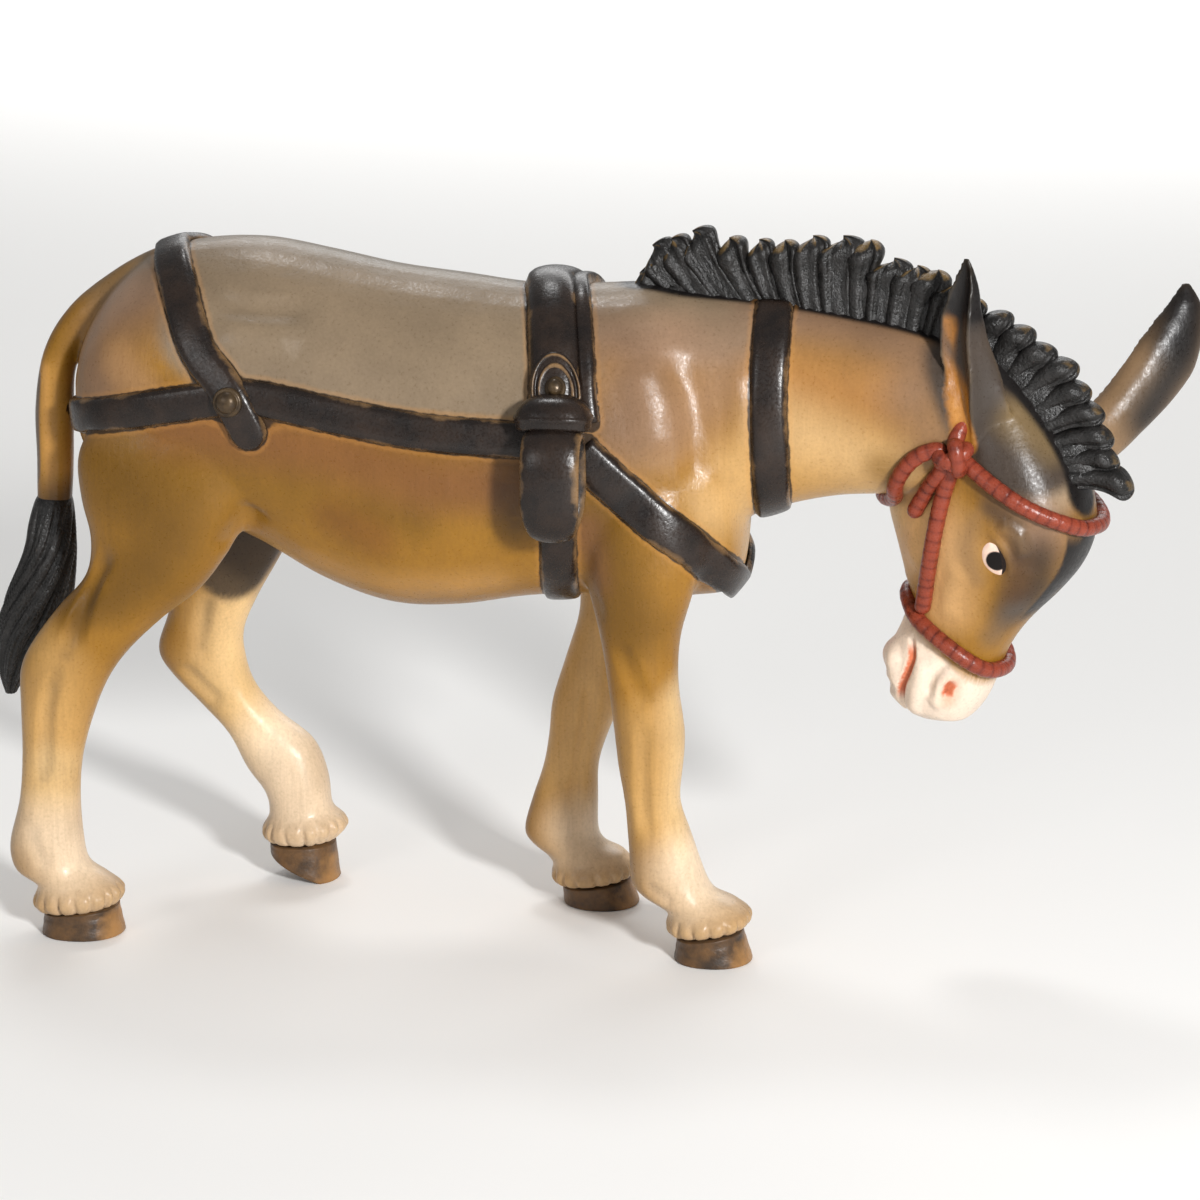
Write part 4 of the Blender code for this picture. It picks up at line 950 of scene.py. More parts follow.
# The coat over the tan ground, from the belly up and from the tail forwards.
COAT = (
    # pale chest, throat and belly
    spray(((24, 0, 58), (26, 0, 66), (34, -1, 68), (44, -3, 70)), 12, "#c9a26c", 0.8),
    spray(((21, -9, 76), (22, -8, 69), (18, -12, 70)), 8, "#dcb680", 0.5),
    spray(((30, -8, 76), (40, -7, 74)), 9, CREAM_GOLD, 0.4),
    spray(((40, -4, 66), (48, -4, 66)), 9, CREAM, 0.6),
    # the lower legs
    one_side(((-78, -13, 45), (-80, -13.3, 34), (-80.5, -13.3, 24)), 8.5, CREAM_GOLD, 0.9),
    one_side(((-80, -14, 29), (-80.5, -14, 24)), 6, CREAM, 0.5),
    one_side(((-60, 14, 52), (-62, 15, 46)), 8, CREAM_GOLD, 0.95),
    one_side(((-57, 14, 47), (-61, 16, 36), (-56, 17, 26)), 10.5, "#e3c08a", 0.95),
    one_side(((9.4, -11.6, 38), (10, -11.8, 24)), 8, CREAM_GOLD, 0.9),
    one_side(((13, -13, 42), (13.4, -13, 20)), 5, CREAM, 0.4),
    one_side(((1, 10, 58), (-1, 10, 40), (-6, 11, 24)), 10, CREAM_GOLD, 0.85),
    one_side(((-81, -13.3, 18), (-77, -13.3, 8)), 9.5, PINK_CREAM, 0.95),
    one_side(((-53, 17, 24), (-50, 17, 15), (-49, 17, 9)), 11, PINK_CREAM, 1),
    one_side(((13.6, -12, 16), (18, -12, 7)), 9, PINK_CREAM, 0.95),
    one_side(((-5, 11, 14), (-2, 11, 7)), 9, PINK_CREAM, 0.95),
    # ochre flanks and thighs, darkest on the thigh, before the girth and on the elbow
    spray(((-72, -13, 78), (-58, -18, 76), (-36, -19, 76), (-12, -18, 76)), 15,
          OCHRE, 0.95),
    spray(((-40, -16, 58), (-28, -16, 56), (-14, -15, 57)), 6, "#b98a4c", 0.6),
    spray(((-66, -16, 73), (-61, -17, 66), (-63, -16, 60)), 11.5, DEEP_OCHRE, 0.95),
    spray(((-22, -19, 74), (-12, -18.4, 74), (-9, -17.4, 68)), 6.5, DEEP_OCHRE, 0.35),
    spray(((-30, -19.6, 70), (-24, -19.5, 68.4)), 5.5, DEEP_OCHRE, 0.6),
    spray(((-60, -18, 81), (-36, -19.6, 78), (-22, -19.6, 74), (-10, -18.6, 74)), 7.5,
          "#734a25", 0.85),
    spray(((-36, -19.6, 68), (-30, -19.2, 65)), 5.5, "#6b4118", 0.6),
    one_side(((-64, -16, 60), (-69, -17, 54.5), (-75, -17, 53)), 5.6, DEEP_OCHRE, 0.9),
    # a painted shadow: where the near tug's shadow falls on the flank behind it, on this side only
    one_side(((-9.6, -18.8, 79), (-10.4, -18.6, 73), (-9.4, -18.2, 68)), 4.2, "#241a12", 0.5),
    spray(((1, -16.4, 69), (4, -16, 62), (7, -15, 53)), 9.5, DEEP_OCHRE, 0.95),
    spray(((0, -16.6, 67), (1, -16.6, 60)), 5, "#6b4630", 0.55),
    # painted shade: on the inner faces of the far legs, and in the cuts along the tendons
    one_side(((-52, 8, 68), (-53.5, 8, 60), (-58, 9, 54)), 7, PAINTED_SHADE, 0.95, edge=Edge.FLAT),
    one_side(((-70.6, -17.6, 60), (-74.4, -17.8, 51), (-76.4, -17.8, 46)), 1.8, PAINTED_SHADE, 0.3),
    one_side(((-77.6, -17.6, 43.6), (-79.9, -17.6, 36), (-81, -17.2, 27)), 1.5, PAINTED_SHADE, 0.28),
    one_side(((-61.8, 10.2, 48), (-63.8, 11, 40)), 1.4, PAINTED_SHADE, 0.4),
    one_side(((-84.6, -15, 46), (-84.6, -13.4, 38), (-85, -13.4, 28)), 2, OCHRE, 0.6),
    # olive grey over the back, warmer on the rump and the shoulder
    spray(((-64, 0, 106), (-48, 0, 107), (-20, 0, 104), (4, 0, 102), (16, 0, 102)),
          18, OLIVE_GREY, 1, edge=Edge.FLAT),
    spray(((-52, -15, 96), (-40, -17, 94.6), (-24, -17.5, 93), (-8, -16.5, 92)), 11.6,
          OLIVE_GREY, 1, edge=Edge.FLAT),
    spray(((-66, -12, 98), (-72, -9, 92), (-71, -13, 86)), 12, WARM_GREY, 0.9),
    spray(((-70, -9, 99), (-74, -8, 93)), 7, "#9c7f68", 0.75),
    spray(((-68, -16, 90), (-64, -17.4, 86)), 5, "#a17a52", 0.6),
    spray(((-40, 0, 107), (-20, 0, 104), (-6, 0, 103)), 9, "#65573f", 0.8),
    spray(((2, -15, 96), (8, -13, 92), (6, -15.6, 82)), 11.5, WARM_GREY, 0.9),
    spray(((14, -10, 94), (20, -10, 90), (13, -14, 82)), 9, "#8e7058", 0.7),
    # neck: brown under the mane and at the jaw
    spray(((26, -4, 97), (38, -5, 95), (48, -8, 91)), 10.5, WARM_GREY, 0.95),
    spray(((27, -10, 88), (40, -11, 86)), 7.5, "#a0713f", 0.8),
    spray(((27, -10, 82), (36, -9.6, 79), (43, -10, 76)), 8, "#bf9c6c", 0.8),
    one_side(((46, -12, 86), (50, -12, 80)), 8, WARM_GREY, 0.7),
    one_side(((42, -11, 76), (45, -10, 68)), 4.5, OCHRE, 0.7),
)
# The head, in its own axes.
HEAD_COAT = (
    on_head(((-9, 6, 20), (-6, 8, 27), (-2, 9, 24), (-1, 7, 16)), 8, "#c69a66", 0.95),
    on_head(((-12, 6, 30), (-11, 8, 35)), 5, WARM_GREY, 0.7),
    on_head(((8, 6, 42), (7, 8, 37), (9, 7, 31)), 9, WARM_GREY, 0.95),
    on_head(((9.6, 5.6, 27), (10.2, 4.8, 23), (9, 4.6, 18)), 5.8, CHARCOAL, 0.9),
    on_head(((9, 5.2, 18), (7.6, 5, 13)), 4, MOLE_GREY, 0.6),
    on_head(((2, 10.4, 32), (6.4, 9.4, 31), (8.4, 8.2, 27)), 2.4, "#4f3f2e", 0.8),
    on_head(((7.8, 7.8, 26), (8.4, 6.4, 21)), 4.2, UMBER, 0.75),
    on_head(((0, 10.2, 34), (4, 9.8, 32)), 3, UMBER, 0.55),
    on_head(((0.6, 9.6, 30), (0.4, 9.6, 25), (3, 9, 21)), 2.4, "#8c6c48", 0.6),
    on_head(((13, 0, 35), (13, 0, 30), (11.8, 0, 20)), 2.6, BLACK, 1, edge=Edge.FLAT,
            tapered=True),
    on_head(((12.9, 4.2, 34), (13.2, 3.4, 31), (13.2, 2.8, 28), (12.7, 2.3, 25), (11.9, 1.9, 22),
             (10.8, 1.4, 19.4), (9, 0.6, 14.6)), 1.9, BLACK, 1, edge=Edge.FLAT, tapered=True),
    on_head(((8.4, 5.4, 39.6), (8.8, 4.6, 36.4)), 4.4, "#a18d74", 0.8),
    on_head(((-7.5, 0, -13),), 24, MUZZLE_WHITE, 1, edge=Edge.MASKED),
    on_head(((-8.6, 3, 6), (-8.4, 4, 2)), 2.4, "#d3a58c", 0.5),
    on_head(((-4.4, 5.9, 7.8), (-3.1, 6.2, 5.6), (-3, 6, 3.2), (-3.4, 5.4, 0.6), (-3.2, 4.3, -2.2)), 0.95,
            SALMON, 1, edge=Edge.FLAT, tapered=True),
    on_head(((3.8, 6, 4.4), (3.9, 5.6, 1.4)), 2.2, "#dd9878", 0.6),
    on_head(((4, 5.9, 4.8), (3.5, 5.9, 3.4), (3.7, 5.6, 1.9)), 0.95, SALMON, 1, edge=Edge.FLAT,
            tapered=True),
)
# Ears: brown roots, a golden strip inside and black tips.
EAR_COAT = (
    one_side(((62, -10, 79), (57, -12, 87), (54, -12.8, 95), (53, -13.2, 106)), 9,
             "#40362e", 1, edge=Edge.FLAT),
    one_side(((64, -10, 79), (60, -11, 84)), 5, "#75603f", 0.85),
    one_side(((57, -14, 84), (56, -14, 90)), 3.4, "#383029", 0.7),
    one_side(((53.6, -12.6, 80), (52.8, -12.8, 84), (51.8, -13, 89), (50.8, -13.2, 94),
              (51, -13.2, 98.4)), 1.9, "#9a6426", 1, edge=Edge.FLAT),
    one_side(((52.4, -13, 84), (51.4, -13.2, 89), (50.8, -13.4, 94)), 1.1, "#c48b46", 0.7),
    one_side(((52.6, -9.6, 90.6), (51.7, -9.7, 94.5), (51.2, -10.4, 97.4)), 2, "#9a6426", 1,
             edge=Edge.FLAT),
    one_side(((53.6, -13.4, 101), (53, -13.2, 107)), 7, CHARCOAL, 1),
    one_side(((53.2, -13, 102), (53, -13.2, 108)), 5.5, BLACK, 1, edge=Edge.FLAT),
    one_side(((50.6, -12, 103), (48.8, -12, 98), (48.7, -12, 93.6)), 1.4, CHARCOAL, 0.95,
             edge=Edge.FLAT),
    one_side(((72, 4, 79), (80, 8, 88), (84, 9.4, 100)), 9.5, "#84694c", 1, edge=Edge.FLAT),
    one_side(((79, 3, 82), (83, 5, 89), (84, 7, 97)), 7, CHARCOAL, 0.95),
    one_side(((83, 6, 93), (84, 8, 101)), 7.5, BLACK, 1),
)
# The tail, with a dark end that runs into the tassel.
TAIL_COAT = (
    one_side(((-70, 0, 99), (-78, 0, 92), (-82, 0, 84)), 7, OCHRE, 0.9),
    one_side(((-82, 0, 84), (-82.5, 0, 68)), 6, "#bd8a42", 0.95),
    one_side(((-84.8, -1, 84), (-85.6, -1, 70)), 2.4, MOLE_GREY, 0.9, edge=Edge.FLAT),
    one_side(((-82.6, -2.6, 86), (-82.8, -2.8, 68)), 1.2, "#b98848", 0.8),
    one_side(((-82.6, 0, 67.4), (-83, 0, 62)), 4.6, UMBER, 0.8),
    one_side(((-82.6, 0, 65), (-83, 0, 58)), 6.4, BLACK, 1),
)
CREST = (
    Stain(((6, 0, 99.6), (12, 0, 99.6), (19, 0, 99.2), (28, -0.6, 98.4), (37, -1.8, 97),
           (46, -3.2, 95), (53, -5, 91.6), (60, -6.4, 87.6), (66, -7.4, 82), (69.6, -8.6, 76.4),
           (69.6, -9.2, 73)), 4.2, Edge.FLAT, colour=BLACK, strength=1, tapered=False),
)
DETAILS = (*HEAD_COAT, *EAR_COAT, *TAIL_COAT, *CREST)


# ---------------------------------------------------------------- growing things: geometry nodes
def edge_path(points: np.ndarray, edges: list[tuple[int, int]]) -> Object:
    """A mesh of edges alone, for a rope to follow.

    Args:
        points: The points, as rows.
        edges: Pairs of point numbers.

    Returns:
        The new object.
    """
    mesh = bpy.data.meshes.new("rope_path")
    mesh.from_pydata(points.tolist(), edges, [])
    obj = bpy.data.objects.new("rope_path", mesh)
    bpy.context.scene.collection.objects.link(obj)
    return obj


def new_finish(name: str) -> tuple[Material, NodeTree, Node]:
    """A material with its shader alone.

    Args:
        name: What the material is called.

    Returns:
        The material, its tree and its shader.
    """
    material = bpy.data.materials.new(name)
    material.use_nodes = True
    return material, material.node_tree, material.node_tree.nodes["Principled BSDF"]


def node(tree: NodeTree, kind: str, inputs: dict | None = None, **settings: object) -> Node:
    """Adds a node to a tree.

    Args:
        tree: The tree that the node joins.
        kind: The node's type.
        inputs: For each input, by name or number, its value or the output socket that feeds it.
        **settings: The node's own settings.

    Returns:
        The new node.
    """
    made = tree.nodes.new(kind)
    for name, value in settings.items():
        setattr(made, name, value)
    for name, value in (inputs or {}).items():
        if isinstance(value, NodeSocket):
            tree.links.new(value, made.inputs[name])
        else:
            made.inputs[name].default_value = value
    return made


def span(value: object, source: tuple = (0, 1), target: tuple = (0, 1)) -> dict:
    """The inputs of a node that maps a value from one span of numbers to another."""
    return {"Value": value, "From Min": source[0], "From Max": source[1], "To Min": target[0],
        "To Max": target[1]}


def blend(factor: object, first: object, second: object) -> dict:
    """The inputs of a node that goes from the first colour to the second as the factor grows."""
    return {MIX_FACTOR: factor, MIX_A: first, MIX_B: second}


def grown(name: str, source: Object, tree: NodeTree, sizes: dict) -> Object:
    """Runs a geometry tree on an object and keeps the result as a plain mesh.

    Args:
        name: The new object's name.
        source: The object that the tree reads; it is used up.
        tree: The geometry tree.
        sizes: The value of each of the tree's named inputs.

    Returns:
        The new mesh object, with no modifier.
    """
    made = source.modifiers.new("growth", "NODES")
    made.node_group = tree
    sockets = {item.name: item.identifier for item in tree.interface.items_tree if item.in_out == "INPUT"}
    for label, value in sizes.items():
        made[sockets[label]] = value
    bpy.context.view_layer.update()
    graph = bpy.context.evaluated_depsgraph_get()
    mesh = bpy.data.meshes.new_from_object(source.evaluated_get(graph))
    mesh.name = name
    bpy.data.objects.remove(source)
    obj = bpy.data.objects.new(name, mesh)
    bpy.context.scene.collection.objects.link(obj)
    return obj


def new_growth(name: str, inputs: dict[str, str]) -> tuple[NodeTree, Node, Node]:
    """An empty geometry tree with named inputs, and its input and output nodes.

    Args:
        name: What the tree is called.
        inputs: The socket type of each named input.

    Returns:
        The tree, its input node and its output node.
    """
    tree = bpy.data.node_groups.new(name, "GeometryNodeTree")
    tree.interface.new_socket("Geometry", in_out="INPUT", socket_type="NodeSocketGeometry")
    tree.interface.new_socket("Geometry", in_out="OUTPUT", socket_type="NodeSocketGeometry")
    for label, kind in inputs.items():
        tree.interface.new_socket(label, in_out="INPUT", socket_type=kind)
    return tree, node(tree, "NodeGroupInput"), node(tree, "NodeGroupOutput")


# ---------------------------------------------------------------- the mane
@dataclass(frozen=True)
class Lock:
    """The form of one carved tuft, one millimetre wide, thick and tall: it is stretched where it stands."""

    grooves: tuple[float, ...]      # where each groove runs, from -1 at the rear edge to 1 at the front
    bow: float                      # how far its middle is behind its foot
    curl: float                     # how far its tip comes forward
    knob: float                     # how much its free end swells
    round_off: float = 0.14         # the share of its height that its end is rounded over
    slant: float = 0.03             # how much lower its rear corner is
    waist: float = 0.0              # how much thinner it is half-way up
    rub: float = 1.0                # how much its end is rubbed
    rings: int = 26
    sides: int = 36
    groove_depth: float = 0.16

    def build(self, name: str) -> Object:
        """The tuft, its foot at the origin and its tip along +Z.

        Args:
            name: What the tuft is called.

        Returns:
            The tuft, with its worn attribute.
        """
        turn = np.linspace(0, 2 * math.pi, self.sides, endpoint=False)
        across = np.sign(np.cos(turn)) * np.abs(np.cos(turn)) ** 0.72
        out = np.sign(np.sin(turn)) * np.abs(np.sin(turn)) ** 0.72
        rings, worn = [], []
        for share in np.sin(np.linspace(0, math.pi / 2, self.rings)):
            ending = max(0.0, (share - 1 + self.round_off) / self.round_off)
            closing = max(1 - ending**2.4, 0.0004) ** 0.5
            swell = 1 + self.knob * math.exp(-((share - 0.88) / 0.13) ** 2)
            swell -= self.waist * math.exp(-((share - 0.5) / 0.25) ** 2)
            width = 0.5 * (0.9 + 0.1 * share) * closing * swell
            thick = 0.5 * (1 - 0.2 * share) * closing * swell
            sway = 0.25 * math.sin(2.6 * share)
            cut = sum(np.exp(-((across - at - sway) / 0.15) ** 2) for at in self.grooves)
            depth = self.groove_depth * cut * (0.3 + 0.7 * share) * np.abs(out)
            x = across * width - self.bow * math.sin(math.pi * share) + self.curl * share**2.5
            y = out * (thick - depth * closing)
            z = np.full(self.sides, share) - self.slant * share * share * (0.5 - 0.5 * across)
            rings.append(np.stack([x, y, z], axis=1))
            worn.append(smoothstep(share + 0.05 * np.abs(out) - 0.3 * cut, 0.88,
                1.02) * self.rub + 0 * across)
        obj = loft(name, np.array(rings))
        add_attribute(obj, "worn", np.concatenate(worn))
        return obj


@dataclass
class Mane:
    """The roached mane and forelock: a crest of tufts from the withers over the poll."""

    # on the crest: foot on the neck, then the free edge
    route: tuple[tuple[Place, Place], ...] = (
        ((8.2, 0, 97.4), (8.4, 0, 99.8)),
        ((13, 0, 97), (12.6, 0, 102.4)),
        ((18.8, 0, 96), (18.4, 0, 105.4)),
        ((28, -0.6, 95), (28.5, -0.6, 106.6)),
        ((37, -1.8, 93), (38, -1.8, 106.6)),
        ((46, -3.2, 90), (49, -3.2, 103.4)),
        ((53, -5, 85.5), (58.6, -5.4, 97.6)),
        ((58, -6.4, 81.5), (66.4, -7.2, 91.6)),
        ((61, -7.2, 78), (71.6, -8.4, 84.2)),
        ((63.6, -7.8, 75), (74.6, -9.6, 77.8)),
        ((65.6, -8.4, 73.4), (75.8, -10.2, 73.8)),
    )
    # from the withers: each tuft's share of the crest, how much taller it is, and its form
    tufts: tuple[tuple[float, float, int], ...] = (
        (1, 0, 0), (1, -0.2, 0), (1.1, 0.1, 1), (1, -0.1, 0), (1.1, 0.9, 1), (0.9, -0.2, 2),
        (0.8, -0.4, 0), (0.8, 0, 2), (1, 0.2, 0), (1.2, 0.7, 1), (0.9, 0.8, 2), (1.1, -0.7, 1),
        (1, -0.4, 0), (1, -0.2, 2), (0.9, -0.6, 0), (1, -0.5, 0), (1.1, -0.4, 3), (1.2, -0.3, 3),
        (1.25, 0, 3), (1.2, 0.4, 3), (1.15, 0.3, 3), (1.15, 0.5, 3), (1.15, 0.3, 3), (1.1, 0.2, 3),
        (1.2, 1, 3),
    )
    forelock_tufts: int = 3
    thickness: float = 6.0
    lean: float = 0.85                # of the first tufts' tips to the rear, in radians
    seed: int = 11
    forms: tuple[Lock, ...] = (
        Lock((-0.35, 0.45), 0.16, 0.16, 0.16, round_off=0.16, slant=0.05, waist=0.06, groove_depth=0.3),
        Lock((-0.55, 0.05, 0.6), 0.12, 0.12, 0.2, round_off=0.15, slant=0.08, waist=0.04, groove_depth=0.3),
        Lock((0.1,), 0.2, 0.14, 0.22, round_off=0.2, slant=0.02, waist=0.1, groove_depth=0.34),
        Lock((0.3,), 0.18, 0.5, 0.26, round_off=0.2, slant=0, waist=0.14, rub=0.6, groove_depth=0.22),
    )

    def tree(self, coat: Material) -> NodeTree:
        """The geometry tree that stands one tuft on each point.

        Args:
            coat: The finish of the tufts.

        Returns:
            The tree.
        """
        tree, given, made = new_growth("mane_of_tufts", {
            "Tufts": "NodeSocketCollection", "Uneven height": "NodeSocketFloat", "Seed": "NodeSocketInt",
        })
        forms = node(tree, "GeometryNodeCollectionInfo", {
            "Collection": given.outputs["Tufts"], "Separate Children": True, "Reset Children": True,
        })
        size = node(tree, "GeometryNodeInputNamedAttribute", {"Name": "size"}, data_type="FLOAT_VECTOR")
        turn = node(tree, "GeometryNodeInputNamedAttribute", {"Name": "turn"}, data_type="FLOAT_VECTOR")
        facing = node(tree, "FunctionNodeEulerToRotation", {0: turn.outputs[0]})
        form = node(tree, "GeometryNodeInputNamedAttribute", {"Name": "form"}, data_type="INT")
        low = node(tree, "ShaderNodeMath", {0: 1.0, 1: given.outputs["Uneven height"]}, operation="SUBTRACT")
        high = node(tree, "ShaderNodeMath", {0: 1.0, 1: given.outputs["Uneven height"]}, operation="ADD")
        height = node(tree, "FunctionNodeRandomValue", {
            2: low.outputs[0], 3: high.outputs[0], "Seed": given.outputs["Seed"],
        })
        stretch = node(tree, "ShaderNodeCombineXYZ", {"X": 1.0, "Y": 1.0, "Z": height.outputs[1]})
        size = node(tree, "ShaderNodeVectorMath", {0: size.outputs[0], 1: stretch.outputs[0]},
            operation="MULTIPLY")
        stood = node(tree, "GeometryNodeInstanceOnPoints", {
            "Points": given.outputs["Geometry"], "Instance": forms.outputs[0], "Pick Instance": True,
            "Instance Index": form.outputs[0], "Rotation": facing.outputs[0], "Scale": size.outputs[0],
        })
        real = node(tree, "GeometryNodeRealizeInstances", {0: stood.outputs[0]})
        dressed = node(tree, "GeometryNodeSetMaterial", {"Geometry": real.outputs[0], "Material": coat})
        tree.links.new(dressed.outputs[0], made.inputs[0])
        return tree

    def crest(self) -> tuple[np.ndarray, np.ndarray, np.ndarray]:
        """Fine rows along the crest, their lengths along it, and the lengths where the tufts meet."""
        rows = smooth_rows([foot + top for foot, top in self.route], 0.4)
        lengths = np.concatenate([[0], np.cumsum(np.linalg.norm(np.diff(rows[:, 3:], axis=0), axis=1))])
        shares = np.concatenate([[0], np.cumsum([share for share, _, _ in self.tufts])])
        return rows, lengths, shares / shares[-1] * lengths[-1]

    def feet(self, first: int, last: int) -> Object:
        """A point for each tuft from first to last, with its turn, size and form.

        Args:
            first: The first tuft.
            last: The tuft after the last one.

        Returns:
            The points, as a mesh object.
        """
        rows, lengths, meetings = self.crest()
        places, turns, sizes = [], [], []
        for k in range(first, last):
            _, taller, form = self.tufts[k]
            at = (meetings[k] + meetings[k + 1]) / 2
            before, row, after = (np.array([np.interp(at + d, lengths, rows[:, c]) for c in range(6)])
                                  for d in (-2, 0, 2))
            foot, top = row[:3], row[3:]
            forward = unit((after[:3] - before[:3]) * (1, 0, 1))
            up = unit(top - foot)
            lean = self.lean * (1 - smoothstep(np.array(k), 0, 11)) + 0.1 * (form != 3)
            up = unit(up - forward * math.tan(lean))
            side = unit(np.cross(up, forward))
            axes = Matrix(np.stack([np.cross(side, up), side, up], axis=1).tolist())
            places.append(foot)
            turns.append(axes.to_euler())
            finger = form == 3
            ends = min(1.0, 0.5 + 0.14 * k) * (0.86 if finger else 1.0)
            width = (meetings[k + 1] - meetings[k]) * (0.98 if finger else 1.6)
            height = (np.linalg.norm(top - foot) + taller) / math.cos(lean) * (1.04 if finger else 1.0)
            sizes.append((width, self.thickness * ends, height))
        obj = new_object("mane_feet", np.array(places), [])
        for name, found in (("turn", turns), ("size", sizes)):
            made = obj.data.attributes.new(name, "FLOAT_VECTOR", "POINT")
            made.data.foreach_set("vector", np.array(found, np.float32).ravel())
        made = obj.data.attributes.new("form", "INT", "POINT")
        made.data.foreach_set("value", [form for _, _, form in self.tufts[first:last]])
        return obj

    def core(self, name: str, first: int, last: int) -> Object:
        """The low ridge that the tufts stand from, which closes the cuts between them.

        Args:
            name: What the ridge is called.
            first: The first tuft over it.
            last: The tuft after the last one over it.

        Returns:
            The ridge.
        """
        rows, lengths, meetings = self.crest()
        rows = rows[(lengths > meetings[first] + 0.8) & (lengths < meetings[last] - 1.2)]
        rings = []
        for row in rows[::2]:
            foot, top = row[:3], row[3:]
            up = top - foot
            half = np.array((0.0, self.thickness * 0.36, 0.0))
            rings.append([
                foot - up * 0.1 - half, foot - up * 0.1 + half, foot + up * 0.6 + half * 0.9,
                foot + up * 0.8 + half * 0.4, foot + up * 0.8 - half * 0.4, foot + up * 0.6 - half * 0.9,
            ])
        obj = loft(name, np.array(rings))
        add_attribute(obj, "worn", np.zeros(len(obj.data.vertices)))
        return obj

    def build(self, coat: Material) -> dict[str, Object]:
        """Makes the mane and the forelock.

        Args:
            coat: The finish of all the hair.

        Returns:
            The pieces by name.
        """
        tufts = bpy.data.collections.new("tufts")
        for k, form in enumerate(self.forms):
            obj = form.build(f"tuft_{k}")
            bpy.context.scene.collection.objects.unlink(obj)
            tufts.objects.link(obj)
        count = len(self.tufts)
        last = count - self.forelock_tufts
        tree = self.tree(coat)
        found = {}
        for name, (start, end) in {"mane": (0, last), "forelock": (last, count)}.items():
            locks = grown(f"{name}_locks", self.feet(start, end), tree,
                          {"Tufts": tufts, "Uneven height": 0.03, "Seed": self.seed})
            core = self.core(f"{name}_core", start, end)
            core.data.materials.append(coat)
            found[name] = joined(f"{name}_tufts", [locks, core])
            found[name].data.shade_smooth()
        for obj in list(tufts.objects):
            bpy.data.objects.remove(obj)
        bpy.data.collections.remove(tufts)
        return found


# ---------------------------------------------------------------- the skin, for laying straps on
class Ground:
    """The finished skin, for finding places on it."""

    def __init__(self, skin: Object) -> None:
        """Reads the skin's faces.

        Args:
            skin: The carved skin.
        """
        self.points = points_of(skin)
        self.normals = normals_of(skin)
        faces = [tuple(face.vertices) for face in skin.data.polygons]
        self.tree = BVHTree.FromPolygons(self.points.tolist(), faces)

    def nearest(self, points: np.ndarray) -> tuple[np.ndarray, np.ndarray]:
        """The nearest place on the skin to each point, and the way out there."""
        found = [self.tree.find_nearest(Vector(point)) for point in points]
        return np.array([hit[0] for hit in found]), np.array([hit[1] for hit in found])

    def from_side(self, x: float, z: float, side: int) -> tuple[np.ndarray, np.ndarray]:
        """Where a level ray from one side meets the skin, and the way out there over a few millimetres.

        Args:
            x: Where the ray runs, along the animal.
            z: How high it runs.
            side: The side that it comes from.

        Returns:
            The point met, and the unit way out.
        """
        hit = self.tree.ray_cast(Vector((x, side * 60.0, z)), Vector((0, -side, 0)))[0]
        normals = [found[1] for found in self.tree.find_nearest_range(hit, 3.0)]
        return np.array(hit), unit(np.array(normals).sum(axis=0))

    def laid(self, guides: np.ndarray, step: float, closed: bool = False) -> tuple[np.ndarray, np.ndarray]:
        """Points on the skin along a smooth curve through the guides, and the way out at each, both eased.

        Args:
            guides: The points that the curve goes through.
            step: The distance between its points.
            closed: Whether it comes back to its first point.

        Returns:
            The points and the ways out, as rows.
        """
        places, ways = self.nearest(smooth_rows(guides, step, closed))
        rounds = max(1, round(6 / step))
        return eased(places, rounds // 2, closed), unit(eased(ways, rounds, closed))


def eased(rows: np.ndarray, rounds: int, closed: bool = False) -> np.ndarray:
    """The rows averaged with their neighbours a number of times; open ends stay where they are.

    Args:
        rows: The rows in order.
        rounds: How many times they are averaged.
        closed: Whether the last row is next to the first.

    Returns:
        The averaged rows.
    """
    rows = rows.copy()
    for _ in range(rounds):
        around = (np.roll(rows, 1, axis=0) + np.roll(rows, -1, axis=0)) / 2
        new = (rows + around) / 2
        if not closed:
            new[0], new[-1] = rows[0], rows[-1]
        rows = new
    return rows


def mirrored(route: Route) -> Route:
    """The route on the other side of the animal."""
    return tuple((x, -y, z) for x, y, z in route)


def over_both(route: Route) -> Route:
    """One route from the left side to the right, where the given one is on the right from the middle.

    Args:
        route: The half on the right, from the middle down.

    Returns:
        The whole route.
    """
    middle = route[:1] if route[0][1] == 0 else ()
    rest = route[len(middle):]
    return mirrored(rest)[::-1] + middle + rest


